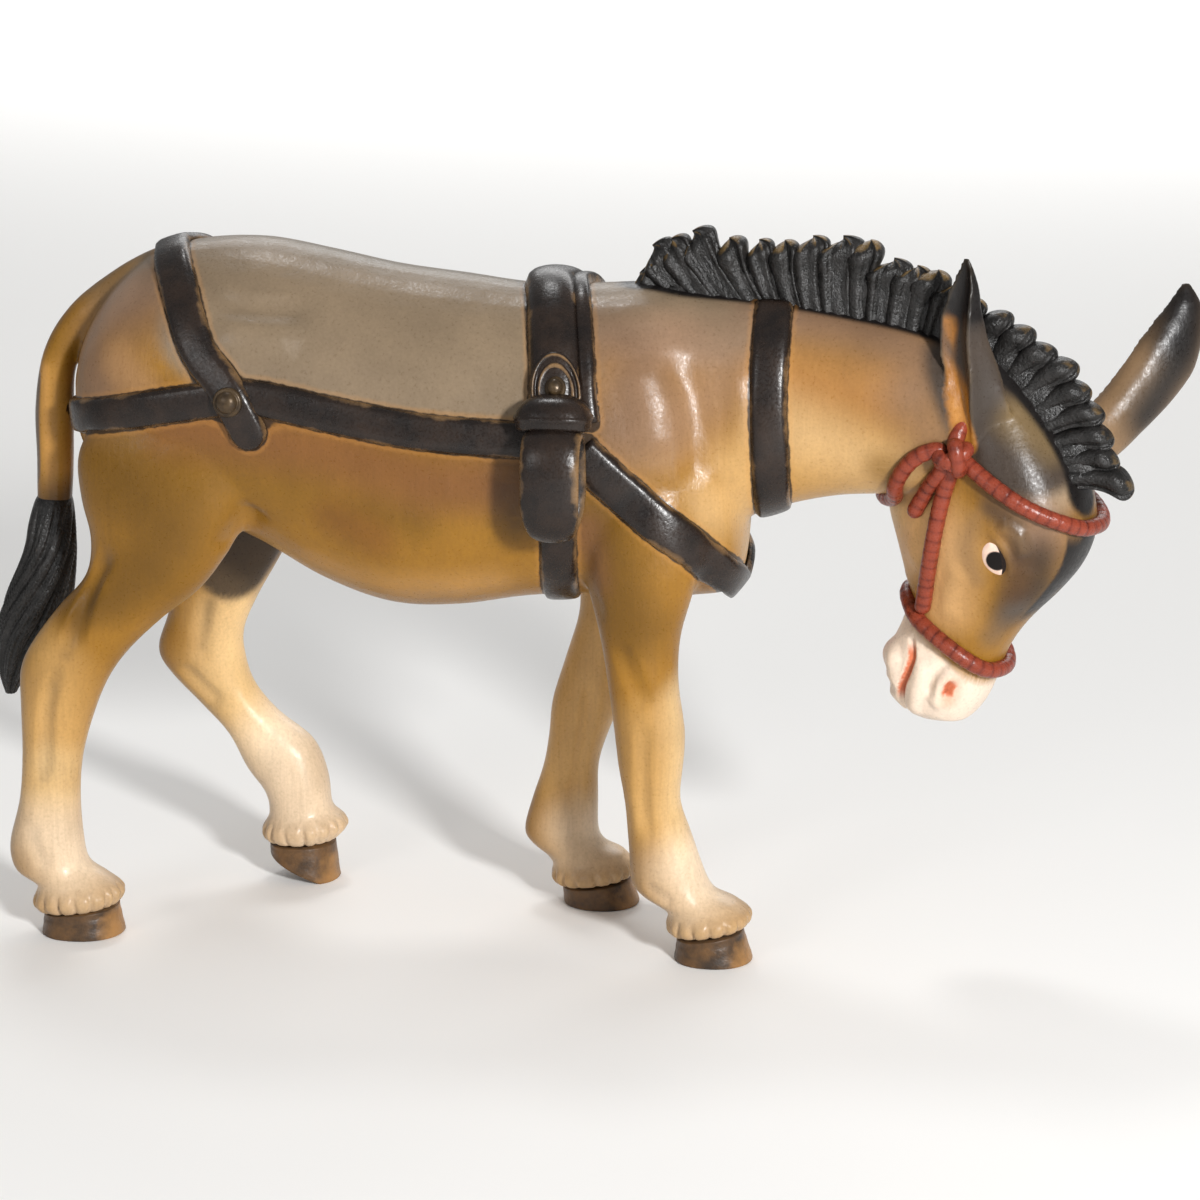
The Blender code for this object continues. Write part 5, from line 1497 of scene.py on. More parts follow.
# ---------------------------------------------------------------- the cart harness
@dataclass(frozen=True)
class Strap:
    """A flat strap laid on the skin; its route is on the right side, from the top or the rear."""

    route: Route
    width: float
    thickness: float
    crown: float = 0.18          # how much the middle stands above the sides, as a share of the thickness
    lifts: tuple[tuple[float, float, float], ...] = ()    # share from the strap's end, reach, lift
    round_ends: bool = False
    columns: int = 13
    step: float = 0.9
    sunk: float = 0.3

    def centre(self, ground: Ground) -> tuple[np.ndarray, np.ndarray]:
        """The strap's middle line on the skin, from left to right, and the way out along it."""
        return ground.laid(np.array(over_both(self.route)), self.step)

    def build(self, name: str, ground: Ground) -> Object:
        """The strap as a closed band with rounded sides.

        Args:
            name: What the strap is called.
            ground: The skin that it lies on.

        Returns:
            The strap.
        """
        places, ways = self.centre(ground)
        along = tangents(places)
        side = unit(np.cross(ways, along))
        lengths = np.concatenate([[0], np.cumsum(np.linalg.norm(np.diff(places, axis=0), axis=1))])
        to_end = np.minimum(lengths, lengths[-1] - lengths)
        half = np.full(len(places), self.width / 2)
        low = np.ones(len(places))
        if self.round_ends:
            inside = np.clip(to_end / (self.width / 2), 0.02, 1)
            half = half * np.sqrt(1 - (1 - inside) ** 2)
            low = 0.35 + 0.65 * smoothstep(to_end, 0.0, 0.9)
        lift = sum((amount * np.exp(-((to_end - at) / reach) ** 2) for at, reach, amount in self.lifts),
                   np.zeros(len(places)))
        rings, edges, runs = [], [], []
        shares = np.linspace(-1, 1, self.columns)
        top = (1 - np.abs(shares) ** 7) ** 0.5 * (1 - self.crown * shares**2)
        for k, place in enumerate(places):
            spread = place + side[k] * half[k] * shares[:, None]
            feet, outs = ground.nearest(spread)
            feet = feet + ways[k] * np.clip((spread - feet) @ ways[k], -0.6, 0.6)[:, None]
            outs = unit(eased(outs, 3) * 0.5 + ways[k])
            over = feet + outs * (lift[k] + self.thickness * low[k] * np.maximum(top, 0.04))[:, None]
            under = feet - outs * (self.sunk - lift[k])
            rings.append(np.concatenate([over, under[::-1]]))
            edges.append(np.concatenate([np.abs(shares), np.ones(self.columns)]))
            runs.append(np.full(2 * self.columns, lengths[k]))
        obj = loft(name, np.array(rings))
        add_attribute(obj, "edge", np.concatenate(edges))
        add_attribute(obj, "run", np.concatenate(runs))
        return obj


@dataclass
class Harness:
    """The cart harness: straps, the loops that the shafts go through, and their fittings."""

    straps: dict[str, Strap] = field(default_factory=lambda: {
        "breeching": Strap(((-77, 0, 79.4), (-75.6, -8, 80.4), (-71.9, -14.1, 81.2), (-65.9, -16.9, 82.5),
                            (-56.6, -18.4, 84.3), (-47.7, -18.7, 85.3), (-36.1, -18.9, 83.2),
                            (-23.1, -19, 81.1), (-11.4, -18, 80.2), (-6, -17.6, 80)), 5.3, 1.1),
        "hip_strap": Strap(((-63.4, 0, 105), (-62.3, -5, 104.2), (-58.5, -13.9, 98.4),
                            (-55.6, -17.3, 91.8), (-51.8, -18.5, 87.4), (-50, -18.7, 84.6),
                            (-48.4, -18.9, 81.4), (-46.9, -19, 78)), 5.5, 1.15,
                           lifts=((7.5, 5, 0.75),), round_ends=True),
        "backband_narrow": Strap(((-2.7, 0, 99.9), (-1.7, -6, 98.4), (0, -14, 90.5),
                                  (0.4, -15.7, 86.4), (1, -16.6, 82.6)), 2.6, 1.7),
        "backband": Strap(((-7.2, 0, 99.9), (-6, -5.9, 98.3), (-4.4, -13.9, 91), (-4.2, -15.8, 87.2),
                           (-4.2, -16.8, 83)), 7.6, 2.7, crown=0.36),
        "girth": Strap(((-5, 0, 53.8), (-4.4, -10.3, 56.6), (-3.8, -16, 62.8), (-3.6, -17.2, 67)),
                       5.3, 1),
        "breast_strap": Strap(((20.8, 0, 55.6), (20.9, -5.7, 57.6), (17.4, -12, 61.8), (9.5, -16.7, 69.3),
                               (3.4, -17, 74.6), (-0.6, -17.4, 78.4)), 6, 1.15),
        "neck_strap": Strap(((25.8, 0, 67.6), (26, -8.8, 72), (25.5, -10.6, 85.4), (25.6, -8, 92),
                             (25.6, -3.4, 97.2)), 5.5, 1.1),
    })
    tug_middle: Place = (-3.4, -23.2, 74.9)
    tug_width: float = 8.5
    tug_outer: tuple[float, float] = (4.7, 8.2)
    tug_hole: tuple[float, float] = (2.6, 5.5)
    collar_middle: Place = (-3.7, -20.6, 84.7)
    collar_half: tuple[float, float] = (5.1, 3.9)
    collar_height: float = 4.9
    tab_foot: tuple[float, float] = (-3.9, 84.2)
    tab_width: float = 7.2
    tab_height: float = 8.2
    tab_lift: float = 1.7
    stud_place: tuple[float, float] = (-4, 86.9)
    rivet_place: tuple[float, float] = (-50.4, 84.8)

    @staticmethod
    def rounded(half_across: float, half_up: float, count: int, power: float) -> np.ndarray:
        """Points round a rounded rectangle or ellipse, as (across, up).

        Args:
            half_across: Half its width.
            half_up: Half its height.
            count: How many points it has.
            power: Its squareness, from 2 for an ellipse.

        Returns:
            One row of two numbers for each point.
        """
        turn = np.linspace(0, 2 * math.pi, count, endpoint=False)
        across = half_across * np.sign(np.cos(turn)) * np.abs(np.cos(turn)) ** (2 / power)
        up = half_up * np.sign(np.sin(turn)) * np.abs(np.sin(turn)) ** (2 / power)
        return np.stack([across, up], axis=1)

    def tug(self, name: str, side: int) -> Object:
        """A thick oval loop of folded leather, open from front to back, with fat rounded rims.

        Args:
            name: What the loop is called.
            side: The side of the animal.

        Returns:
            The loop.
        """
        x, y, z = self.tug_middle
        outer = self.rounded(*self.tug_outer, 72, 2.5)
        hole = self.rounded(*self.tug_hole, 72, 2.4)
        section = self.rounded(0.5, 0.5, 28, 2.1)
        rings = []
        for (oy, oz), (hy, hz) in zip(outer, hole):
            share = section[:, 1] + 0.5
            # The band narrows towards the bottom of the loop, where it is stretched.
            width = self.tug_width * (0.98 - 0.24 * max(-oz / self.tug_outer[1], 0) ** 3)
            rings.append(np.stack([
                x + width * section[:, 0],
                side * (-y + hy + share * (oy - hy)),
                z + hz + share * (oz - hz),
            ], axis=1))
        obj = loft(name, np.array(rings), closed=True)
        edge = np.tile(np.abs(section[:, 0]) * 2, len(rings))
        add_attribute(obj, "edge", edge)
        add_attribute(obj, "run", np.repeat(np.arange(len(rings)) * 0.7, len(section)))
        return obj

    def collar(self, name: str, side: int) -> Object:
        """The keeper round the head of the loop: a drum with a bead along its lower edge.

        Args:
            name: What the keeper is called.
            side: The side of the animal.

        Returns:
            The keeper.
        """
        x, y, z = self.collar_middle
        # share of the height, fullness
        profile = (
            (-0.50, 0.90), (-0.49, 0.98), (-0.45, 1.03), (-0.38, 1.05), (-0.28, 1.05), (-0.22, 1.07),
            (-0.16, 1.10), (-0.10, 1.10), (-0.06, 1.06), (-0.02, 1.04), (0.06, 1.01), (0.16, 0.95),
            (0.27, 0.86), (0.37, 0.73), (0.45, 0.57), (0.49, 0.42), (0.51, 0.22),
        )
        outline = self.rounded(*self.collar_half, 64, 2.6)
        # Its lower edge arches up in the middle of the outward side.
        arch = 0.5 * np.clip(outline[:, 1] / self.collar_half[1], 0, 1) ** 2
        rings = []
        for share, full in profile:
            rings.append(np.stack([
                x + full * outline[:, 0],
                side * -(y - full * outline[:, 1]),
                z + share * self.collar_height + arch * (0.5 - share),
            ], axis=1))
        obj = loft(name, np.array(rings))
        shares = np.array([share for share, _ in profile])
        edge = np.repeat(np.exp(-((shares + 0.13) / 0.05) ** 2) + 0.8 * (shares < -0.46), len(outline))
        add_attribute(obj, "edge", np.clip(edge, 0, 1))
        add_attribute(obj, "run", np.tile(np.linspace(0, 30, len(outline)), len(profile)))
        return obj

    def shield(self, name: str, side: int, ground: Ground) -> Object:
        """The round-topped tab with a double rim over the backband.

        Args:
            name: What the tab is called.
            side: The side of the animal.
            ground: The skin under it.

        Returns:
            The tab.
        """
        count, rings = 56, []
        turn = np.linspace(0, 2 * math.pi, count, endpoint=False)
        across = np.cos(turn) * self.tab_width / 2
        up = np.where(np.sin(turn) > 0, np.sin(turn) * self.tab_height * 0.72,
                      np.sign(np.sin(turn)) * np.abs(np.sin(turn)) ** 0.4 * self.tab_height * 0.28)
        foot, way = ground.from_side(self.tab_foot[0], self.tab_foot[1] + 2.2, side)
        upward = unit(np.array((-0.1, 0, 1.0)) - way * way[2])
        forward = unit(np.cross(upward, way)) * side * -1
        # share of the outline, height
        profile = ((1.0, -0.9), (1.0, 0.45), (0.975, 0.75), (0.93, 0.9), (0.88, 0.82), (0.84, 0.5),
                   (0.80, 0.42), (0.76, 0.5), (0.72, 0.8), (0.67, 0.9), (0.61, 0.84), (0.56, 0.7),
                   (0.3, 0.66), (0.04, 0.66))
        for share, height in profile:
            rings.append(foot + forward * (across * share)[:, None] + upward * (up * share)[:, None]
                         + way * (self.tab_lift + height))
        back = [foot + forward * (across * s)[:, None] + upward * (up * s)[:,
            None] + way * (self.tab_lift - 0.9) for s in (0.04,)]
        obj = loft(name, np.array(back + rings))
        edge = np.repeat([0.0] + [smoothstep(np.array(h), 0.6, 0.9) for _, h in profile], count)
        add_attribute(obj, "edge", edge)
        add_attribute(obj, "run", np.tile(np.linspace(0, 20, count), len(profile) + 1))
        return obj

    def turned(self, name: str, side: int, ground: Ground, place: tuple[float, float],
            profile: tuple[tuple[float, float], ...], squeeze: float = 1.0) -> Object:
        """A round fitting from its profile of (radius, height) over the skin.

        Args:
            name: The object's name.
            side: The side of the animal.
            ground: The skin it stands on.
            place: Its x and z.
            profile: Its radii and heights from the foot up.
            squeeze: Its height over its width, seen from outside.

        Returns:
            The new mesh object.
        """
        foot, way = ground.from_side(*place, side)
        upward = unit(np.array((0, 0, 1.0)) - way * way[2])
        forward = np.cross(upward, way)
        turn = np.linspace(0, 2 * math.pi, 40, endpoint=False)
        rings = [foot + way * height + radius * (forward * np.cos(turn)[:, None]
                 + upward * squeeze * np.sin(turn)[:, None]) for radius, height in profile]
        obj = loft(name, np.array(rings))
        return obj

    def build(self, ground: Ground, finishes: dict[str, Material]) -> dict[str, Object]:
        """Makes every strap and fitting and dresses it.

        Args:
            ground: The skin that it lies on.
            finishes: Every finish by name.

        Returns:
            The pieces by name.
        """
        found = {name: strap.build(f"{name}_leather", ground) for name, strap in self.straps.items()}
        stud = ((1.5, 2.2), (1.5, 2.75), (1.25, 2.95), (1.0, 3.0), (1.0, 3.4), (1.06, 3.7), (0.9, 4.1),
                (0.55, 4.35), (0.05, 4.42))
        dome = ((2.15, 1.5), (2.15, 2.2), (2.0, 2.5), (1.75, 2.55), (1.62, 2.5), (1.55, 2.75), (1.4, 3.1),
                (1.1, 3.4), (0.65, 3.58), (0.05, 3.63))
        for word, side in SIDES.items():
            found[f"tug_{word}"] = self.tug(f"tug_{word}_leather", side)
            found[f"tug_collar_{word}"] = self.collar(f"tug_collar_{word}_leather", side)
            found[f"tug_tab_{word}"] = self.shield(f"tug_tab_{word}_leather", side, ground)
            found[f"tab_stud_{word}"] = self.turned(f"tab_stud_{word}_dome", side, ground, self.stud_place,
                                                    stud, 1.15)
            found[f"hip_rivet_{word}"] = self.turned(f"hip_rivet_{word}_dome", side, ground,
                                                     self.rivet_place, dome)
        for name, obj in found.items():
            metal = name.startswith(("tab_stud", "hip_rivet"))
            obj.data.materials.append(finishes["rivet_paint" if metal else "strap_paint"])
        return found


# ---------------------------------------------------------------- the rope halter
@dataclass
class Halter:
    """The red rope halter, laid on the head with a knot under each ear."""

    radius: float = 1.2
    ring_pitch: float = 1.6
    bed: float = 0.5                 # how deep the rope sits in its bed
    knot: Place = (-5.4, 11.2, 37.6)
    across: dict[str, Route] = field(default_factory=lambda: {
        "browband": ((13.3, 0, 32.7), (12.5, 4.3, 32.8), (6.8, 9, 33.9), (0.8, 10.2, 35.5),
                     (-2.6, 10.6, 36.6), (-4.6, 11, 37.2)),
        "throatlatch": ((-15, 0, 27.4), (-12.4, 11, 29.8), (-10.5, 13, 34.4), (-8.3, 12.4, 37.2),
                        (-6.4, 11.6, 37.8)),
    })
    noseband: Route = ((7.9, 0, 7.6), (6.4, 3.7, 7.7), (2.2, 6.6, 9.4), (-2.9, 6.3, 10.8),
                       (-7.3, 4.5, 12.3), (-9.2, 0, 13.2))
    each_side: dict[str, Route] = field(default_factory=lambda: {
        "cheekpiece": ((-5.2, 10.6, 36.6), (-4.9, 9.8, 33.4), (-4.8, 9.8, 29), (-4.4, 8.8, 22.6),
                       (-4.1, 6.9, 17), (-3.7, 6.2, 12.2)),
        "loose_end": ((-6.2, 10.8, 36.4), (-7.6, 10, 33.4), (-7.8, 9.4, 29.6), (-8.3, 8.8, 26)),
    })

    # the middle of the rope that runs up from the knot and in under the ear
    headpiece: Route = ((-5.3, 11.6, 37.8), (-5.5, 11.4, 39.6), (-5.8, 10.4, 41.4), (-6.2, 8.8, 43.1),
                        (-6.8, 7, 44.6))

    def tree(self, coat: Material) -> NodeTree:
        """The geometry tree that makes a ringed rope along an edge path.

        Args:
            coat: The finish of the rope.

        Returns:
            The tree.
        """
        tree, given, made = new_growth("ringed_rope", {
            "Radius": "NodeSocketFloat", "Ring pitch": "NodeSocketFloat", "Ring depth": "NodeSocketFloat",
        })
        curve = node(tree, "GeometryNodeMeshToCurve", {0: given.outputs["Geometry"]})
        fine = node(tree, "GeometryNodeResampleCurve", {"Curve": curve.outputs[0], "Length": 0.18},
            mode="LENGTH")
        place = node(tree, "GeometryNodeSplineParameter")
        beat = node(tree, "ShaderNodeMath", {0: place.outputs["Length"], 1: given.outputs["Ring pitch"]},
                    operation="DIVIDE")
        wobble = node(tree, "ShaderNodeTexNoise", {"Scale": 0.35, "Detail": 1.0})
        shift = node(tree, "ShaderNodeMath", {0: wobble.outputs["Fac"], 1: 0.9, 2: beat.outputs[0]},
                     operation="MULTIPLY_ADD")
        turn = node(tree, "ShaderNodeMath", {0: shift.outputs[0], 1: math.pi}, operation="MULTIPLY")
        wave = node(tree, "ShaderNodeMath", {0: turn.outputs[0]}, operation="SINE")
        crest = node(tree, "ShaderNodeMath", {0: wave.outputs[0]}, operation="ABSOLUTE")
        notch = node(tree, "ShaderNodeMath", {0: crest.outputs[0], 1: 0.35}, operation="POWER")
        kept = node(tree, "GeometryNodeStoreNamedAttribute", {
            "Geometry": fine.outputs[0], "Name": "crest", "Value": notch.outputs[0],
        }, domain="POINT", data_type="FLOAT")
        swell = node(tree, "ShaderNodeMapRange", span(notch.outputs[0]))
        least = node(tree, "ShaderNodeMath", {0: 1.0, 1: given.outputs["Ring depth"]}, operation="SUBTRACT")
        tree.links.new(least.outputs[0], swell.inputs["To Min"])
        thick = node(tree, "ShaderNodeMath", {0: swell.outputs[0], 1: given.outputs["Radius"]},
                     operation="MULTIPLY")
        # Open ends are rounded off over one radius.
        end = node(tree, "GeometryNodeInputNamedAttribute", {"Name": "full"}, data_type="FLOAT")
        thick = node(tree, "ShaderNodeMath", {0: thick.outputs[0], 1: end.outputs[0]}, operation="MULTIPLY")
        circle = node(tree, "GeometryNodeCurvePrimitiveCircle", {"Resolution": 18, "Radius": 1.0},
            mode="RADIUS")
        tube = node(tree, "GeometryNodeCurveToMesh", {
            "Curve": kept.outputs[0], "Profile Curve": circle.outputs[0], "Scale": thick.outputs[0],
            "Fill Caps": True,
        })
        real = node(tree, "GeometryNodeRealizeInstances", {0: tube.outputs[0]})
        dressed = node(tree, "GeometryNodeSetMaterial", {"Geometry": real.outputs[0], "Material": coat})
        tree.links.new(dressed.outputs[0], made.inputs[0])
        return tree

    def path(self, guides: np.ndarray, ground: Ground | None, closed: bool = False) -> Object:
        """An edge path for a rope, on the skin where there is ground; open ends have less fullness.

        Args:
            guides: The points that the rope goes through.
            ground: The skin under it, if it follows that.
            closed: Whether it is a ring.

        Returns:
            The path, as a mesh of edges.
        """
        centres = smooth_rows(guides, 0.5, closed)
        if ground:
            places, ways = ground.laid(guides, 0.5, closed)
            centres = places + ways * (self.radius - self.bed)
        count = len(centres)
        edges = [(k, k + 1) for k in range(count - 1)] + ([(count - 1, 0)] if closed else [])
        obj = edge_path(centres, edges)
        full = np.ones(count)
        if not closed:
            lengths = np.concatenate([[0], np.cumsum(np.linalg.norm(np.diff(centres, axis=0), axis=1))])
            inside = np.clip(np.minimum(lengths, lengths[-1] - lengths) / self.radius, 0.03, 1)
            full = np.sqrt(1 - (1 - inside) ** 2)
        add_attribute(obj, "full", full)
        return obj

    def rope(self, name: str, guides: np.ndarray, ground: Ground | None, tree: NodeTree,
            closed: bool = False, depth: float = 0.06) -> Object:
        """A ringed rope along guides in the head's axes."""
        path = self.path(HEAD_FRAME.out(guides), ground, closed)
        return grown(name, path, tree, {"Radius": self.radius, "Ring pitch": self.ring_pitch,
            "Ring depth": depth})

    def knot_turns(self, name: str, side: int, ground: Ground, tree: NodeTree) -> Object:
        """The knot: a few short turns of rope over each other.

        Args:
            name: What the knot is called.
            side: The side of the animal.
            ground: The skin under it.
            tree: The tree that makes the rope.

        Returns:
            The knot.
        """
        places, ways = ground.nearest(HEAD_FRAME.out([(self.knot[0], side * self.knot[1], self.knot[2])]))
        middle = places[0] + ways[0] * 0.9
        out = ways[0]
        up = unit(np.array((0.0, 0.0, 1.0)) - out * out[2])
        forward = np.cross(up, out)
        turns = []
        for k, (angle, height, offset) in enumerate(((0.5, 0.6, 0.2), (1.75, 1.15, -0.3), (2.7, 0.45, 0.9))):
            way = forward * math.cos(angle) + up * math.sin(angle)
            across = np.cross(out, way)
            points = [middle + way * (2.0 * math.cos(t)) + out * (height + 1.0 * math.sin(t))
                      + across * offset for t in np.linspace(-0.35, math.pi + 0.35, 9)]
            points = smooth_rows(points, 0.4)
            path = edge_path(points, [(i, i + 1) for i in range(len(points) - 1)])
            add_attribute(path, "full", np.ones(len(points)))
            turns.append(grown(f"{name}_{k}", path, tree, {
                "Radius": self.radius * 0.95, "Ring pitch": self.ring_pitch, "Ring depth": 0.08,
            }))
        return joined(name, turns)

    def build(self, ground: Ground, coat: Material) -> dict[str, Object]:
        """Makes the ropes and the knots.

        Args:
            ground: The skin that they lie on.
            coat: The finish of the rope.

        Returns:
            The pieces by name.
        """
        tree = self.tree(coat)
        found = {}
        for name, route in self.across.items():
            points = np.array(over_both(route))
            found[name] = self.rope(f"{name}_rope", points, ground, tree)
        loop = np.array(self.noseband + mirrored(self.noseband[1:-1])[::-1])
        found["noseband"] = self.rope("noseband_rope", loop, ground, tree, closed=True)
        for word, side in SIDES.items():
            found[f"knot_{word}"] = self.knot_turns(f"knot_{word}_rope", side, ground, tree)
            points = np.array(self.headpiece) * (1, side, 1)
            stub = self.rope(f"headpiece_{word}_rope", points, None, tree)
            found[f"knot_{word}"] = joined(f"knot_{word}_rope", [found[f"knot_{word}"], stub])
            for base, route in self.each_side.items():
                points = np.array(route) * (1, side, 1)
                found[f"{base}_{word}"] = self.rope(f"{base}_{word}_rope", points, ground, tree)
        for obj in found.values():
            obj.data.shade_smooth()
        return found


# ---------------------------------------------------------------- eyes, hooves and tassel
@dataclass(frozen=True)
class Eye:
    """An almond lens set in its socket, with a painted pupil, in the head's axes."""

    rear: Place = (3.4, 9.5, 27.5)        # the corner under the brow
    front: Place = (6.4, 8.3, 22.9)
    half_width: float = 2.0
    dome: float = 0.62
    rings: int = 22
    spokes: int = 56

    def build(self, name: str, side: int, ground: Ground) -> Object:
        """The closed lens, with a UV map from its middle whose unit is ten millimetres.

        Args:
            name: What the eye is called.
            side: The side of the head.
            ground: The skin round it.

        Returns:
            The lens.
        """
        ends = HEAD_FRAME.out(np.array((self.rear, self.front)) * (1, side, 1))
        feet, ways = ground.nearest(np.stack([ends[0], ends.mean(axis=0), ends[1]]))
        way = unit(ways.sum(axis=0))
        along = unit(ends[1] - ends[0] - way * ((ends[1] - ends[0]) @ way))
        across = unit(np.cross(way, along)) * side * -1
        half = np.linalg.norm(ends[1] - ends[0]) / 2
        middle = feet.mean(axis=0)
        turn = np.linspace(0, 2 * math.pi, self.spokes, endpoint=False)
        rim_u = half * np.cos(turn)
        rim_v = self.half_width * np.sign(np.sin(turn)) * np.abs(np.sin(turn)) ** 1.35
        rings, maps = [], []
        for share in (*np.linspace(0.03, 1.0, self.rings), 1.0):
            last = len(rings) == self.rings
            u, v = rim_u * share, rim_v * share
            height = -0.7 if last else self.dome * (1 - share**2) ** 0.8 - 0.12
            flat = middle + along * u[:, None] + across * v[:, None]
            base, _ = ground.nearest(flat)
            level = (base - middle) @ way
            rings.append(flat + way * (level * 0.6 + height)[:, None])
            maps.append(np.stack([u, v], axis=1))
        rings.append(middle + along * rim_u[:, None] * 0.03 + across * rim_v[:, None] * 0.03 - way * 0.7)
        maps.append(maps[0])
        obj = loft(name, np.array(rings))
        layer = obj.data.uv_layers.new(name="lens")
        flat_map = np.concatenate(maps) / 10 + 0.5
        corners = np.empty(len(obj.data.loops), np.int32)
        obj.data.loops.foreach_get("vertex_index", corners)
        layer.data.foreach_set("uv", flat_map[corners].astype(np.float32).ravel())
        return obj


@dataclass(frozen=True)
class Hoof:
    """A hoof: a solid block under its ruffle, cut level where it stands."""

    stations: tuple[Station, ...]
    sides: int = 72

    def build(self, name: str) -> Object:
        """The hoof with growth rings and a softened lower edge.

        Args:
            name: What the hoof is called.

        Returns:
            The hoof.
        """
        rings = station_rings(self.stations, 0.22, self.sides)
        rings = rings[::-1]
        count = len(rings)
        floor = ORIGIN[2]
        middle = rings.mean(axis=1, keepdims=True)
        share = np.linspace(0, 1, count)[:, None, None]
        rng = np.random.default_rng(len(name))
        ridge = np.cumsum(rng.normal(0, 0.0035, count))[:, None, None]
        close = 1 - 0.06 * np.clip(1 - share / 0.07, 0, 1) ** 2
        rings = middle + (rings - middle) * (close + ridge - ridge.mean())
        rings[:, :, 2] = np.maximum(rings[:, :, 2], floor)
        # The sole closes on its own middle.
        sole = rings[0] * 0.05 + rings[0].mean(axis=0) * 0.95
        crown = rings[-1] * 0.05 + rings[-1].mean(axis=0) * 0.95
        obj = loft(name, np.concatenate([[sole], rings, [crown]]))
        points = points_of(obj)
        # The toe is rubbed paler, low at the front.
        toe = smoothstep(points[:, 0] - middle[:, 0, 0].mean(), 1.0, 6.0)
        add_attribute(obj, "toe", toe * smoothstep(-points[:, 2], -7.5, -5.0))
        return obj


@dataclass(frozen=True)
class Tassel:
    """The brush of the tail: long locks twisted a little, cut with a parting tool."""

    stations: tuple[Station, ...]
    sides: int = 128
    locks: int = 9
    twist: float = 0.055              # turns of the locks for a millimetre of length, in radians
    depth: float = 0.2

    def build(self, name: str) -> Object:
        """The tassel with its grooves.

        Args:
            name: What the tassel is called.

        Returns:
            The tassel.
        """
        rings = station_rings(self.stations, 0.3, self.sides)
        middle = rings.mean(axis=1, keepdims=True)
        turn = np.linspace(0, 2 * math.pi, self.sides, endpoint=False)[None, :]
        run = np.cumsum(np.concatenate([[0], np.linalg.norm(np.diff(middle[:, 0], axis=0), axis=1)]))[:, None]
        wave = turn + self.twist * run + 0.22 * np.sin(run * 0.24 + turn)
        big = np.abs(np.sin(wave * self.locks / 2)) ** 0.55
        fine = np.abs(np.sin(wave * self.locks * 2.0 + 1.1 * np.sin(run * 0.17))) ** 0.7
        start = smoothstep(run, 0.5, 5.0)
        cut = self.depth * (1 - big) + 0.4 * self.depth * (1 - fine)
        rings = middle + (rings - middle) * (1 - cut * start)[:, :, None]
        obj = loft(name, rings)
        add_attribute(obj, "worn", (np.clip(big * fine, 0, 1) ** 3 * start).ravel() * 0.45)
        return obj


# ---------------------------------------------------------------- finishes
MIX_FACTOR, MIX_A, MIX_B, MIXED = 0, 6, 7, 2     # the sockets of a Mix node that mixes colours


def per(millimetres: float) -> float:
    """The texture scale that makes a pattern repeat about every so many millimetres."""
    return 1 / (millimetres * MM)


def shade(hex_colour: str) -> tuple[float, float, float, float]:
    """An sRGB hex colour as a linear colour with full alpha."""
    return (*linear(hex_colour).tolist(), 1.0)


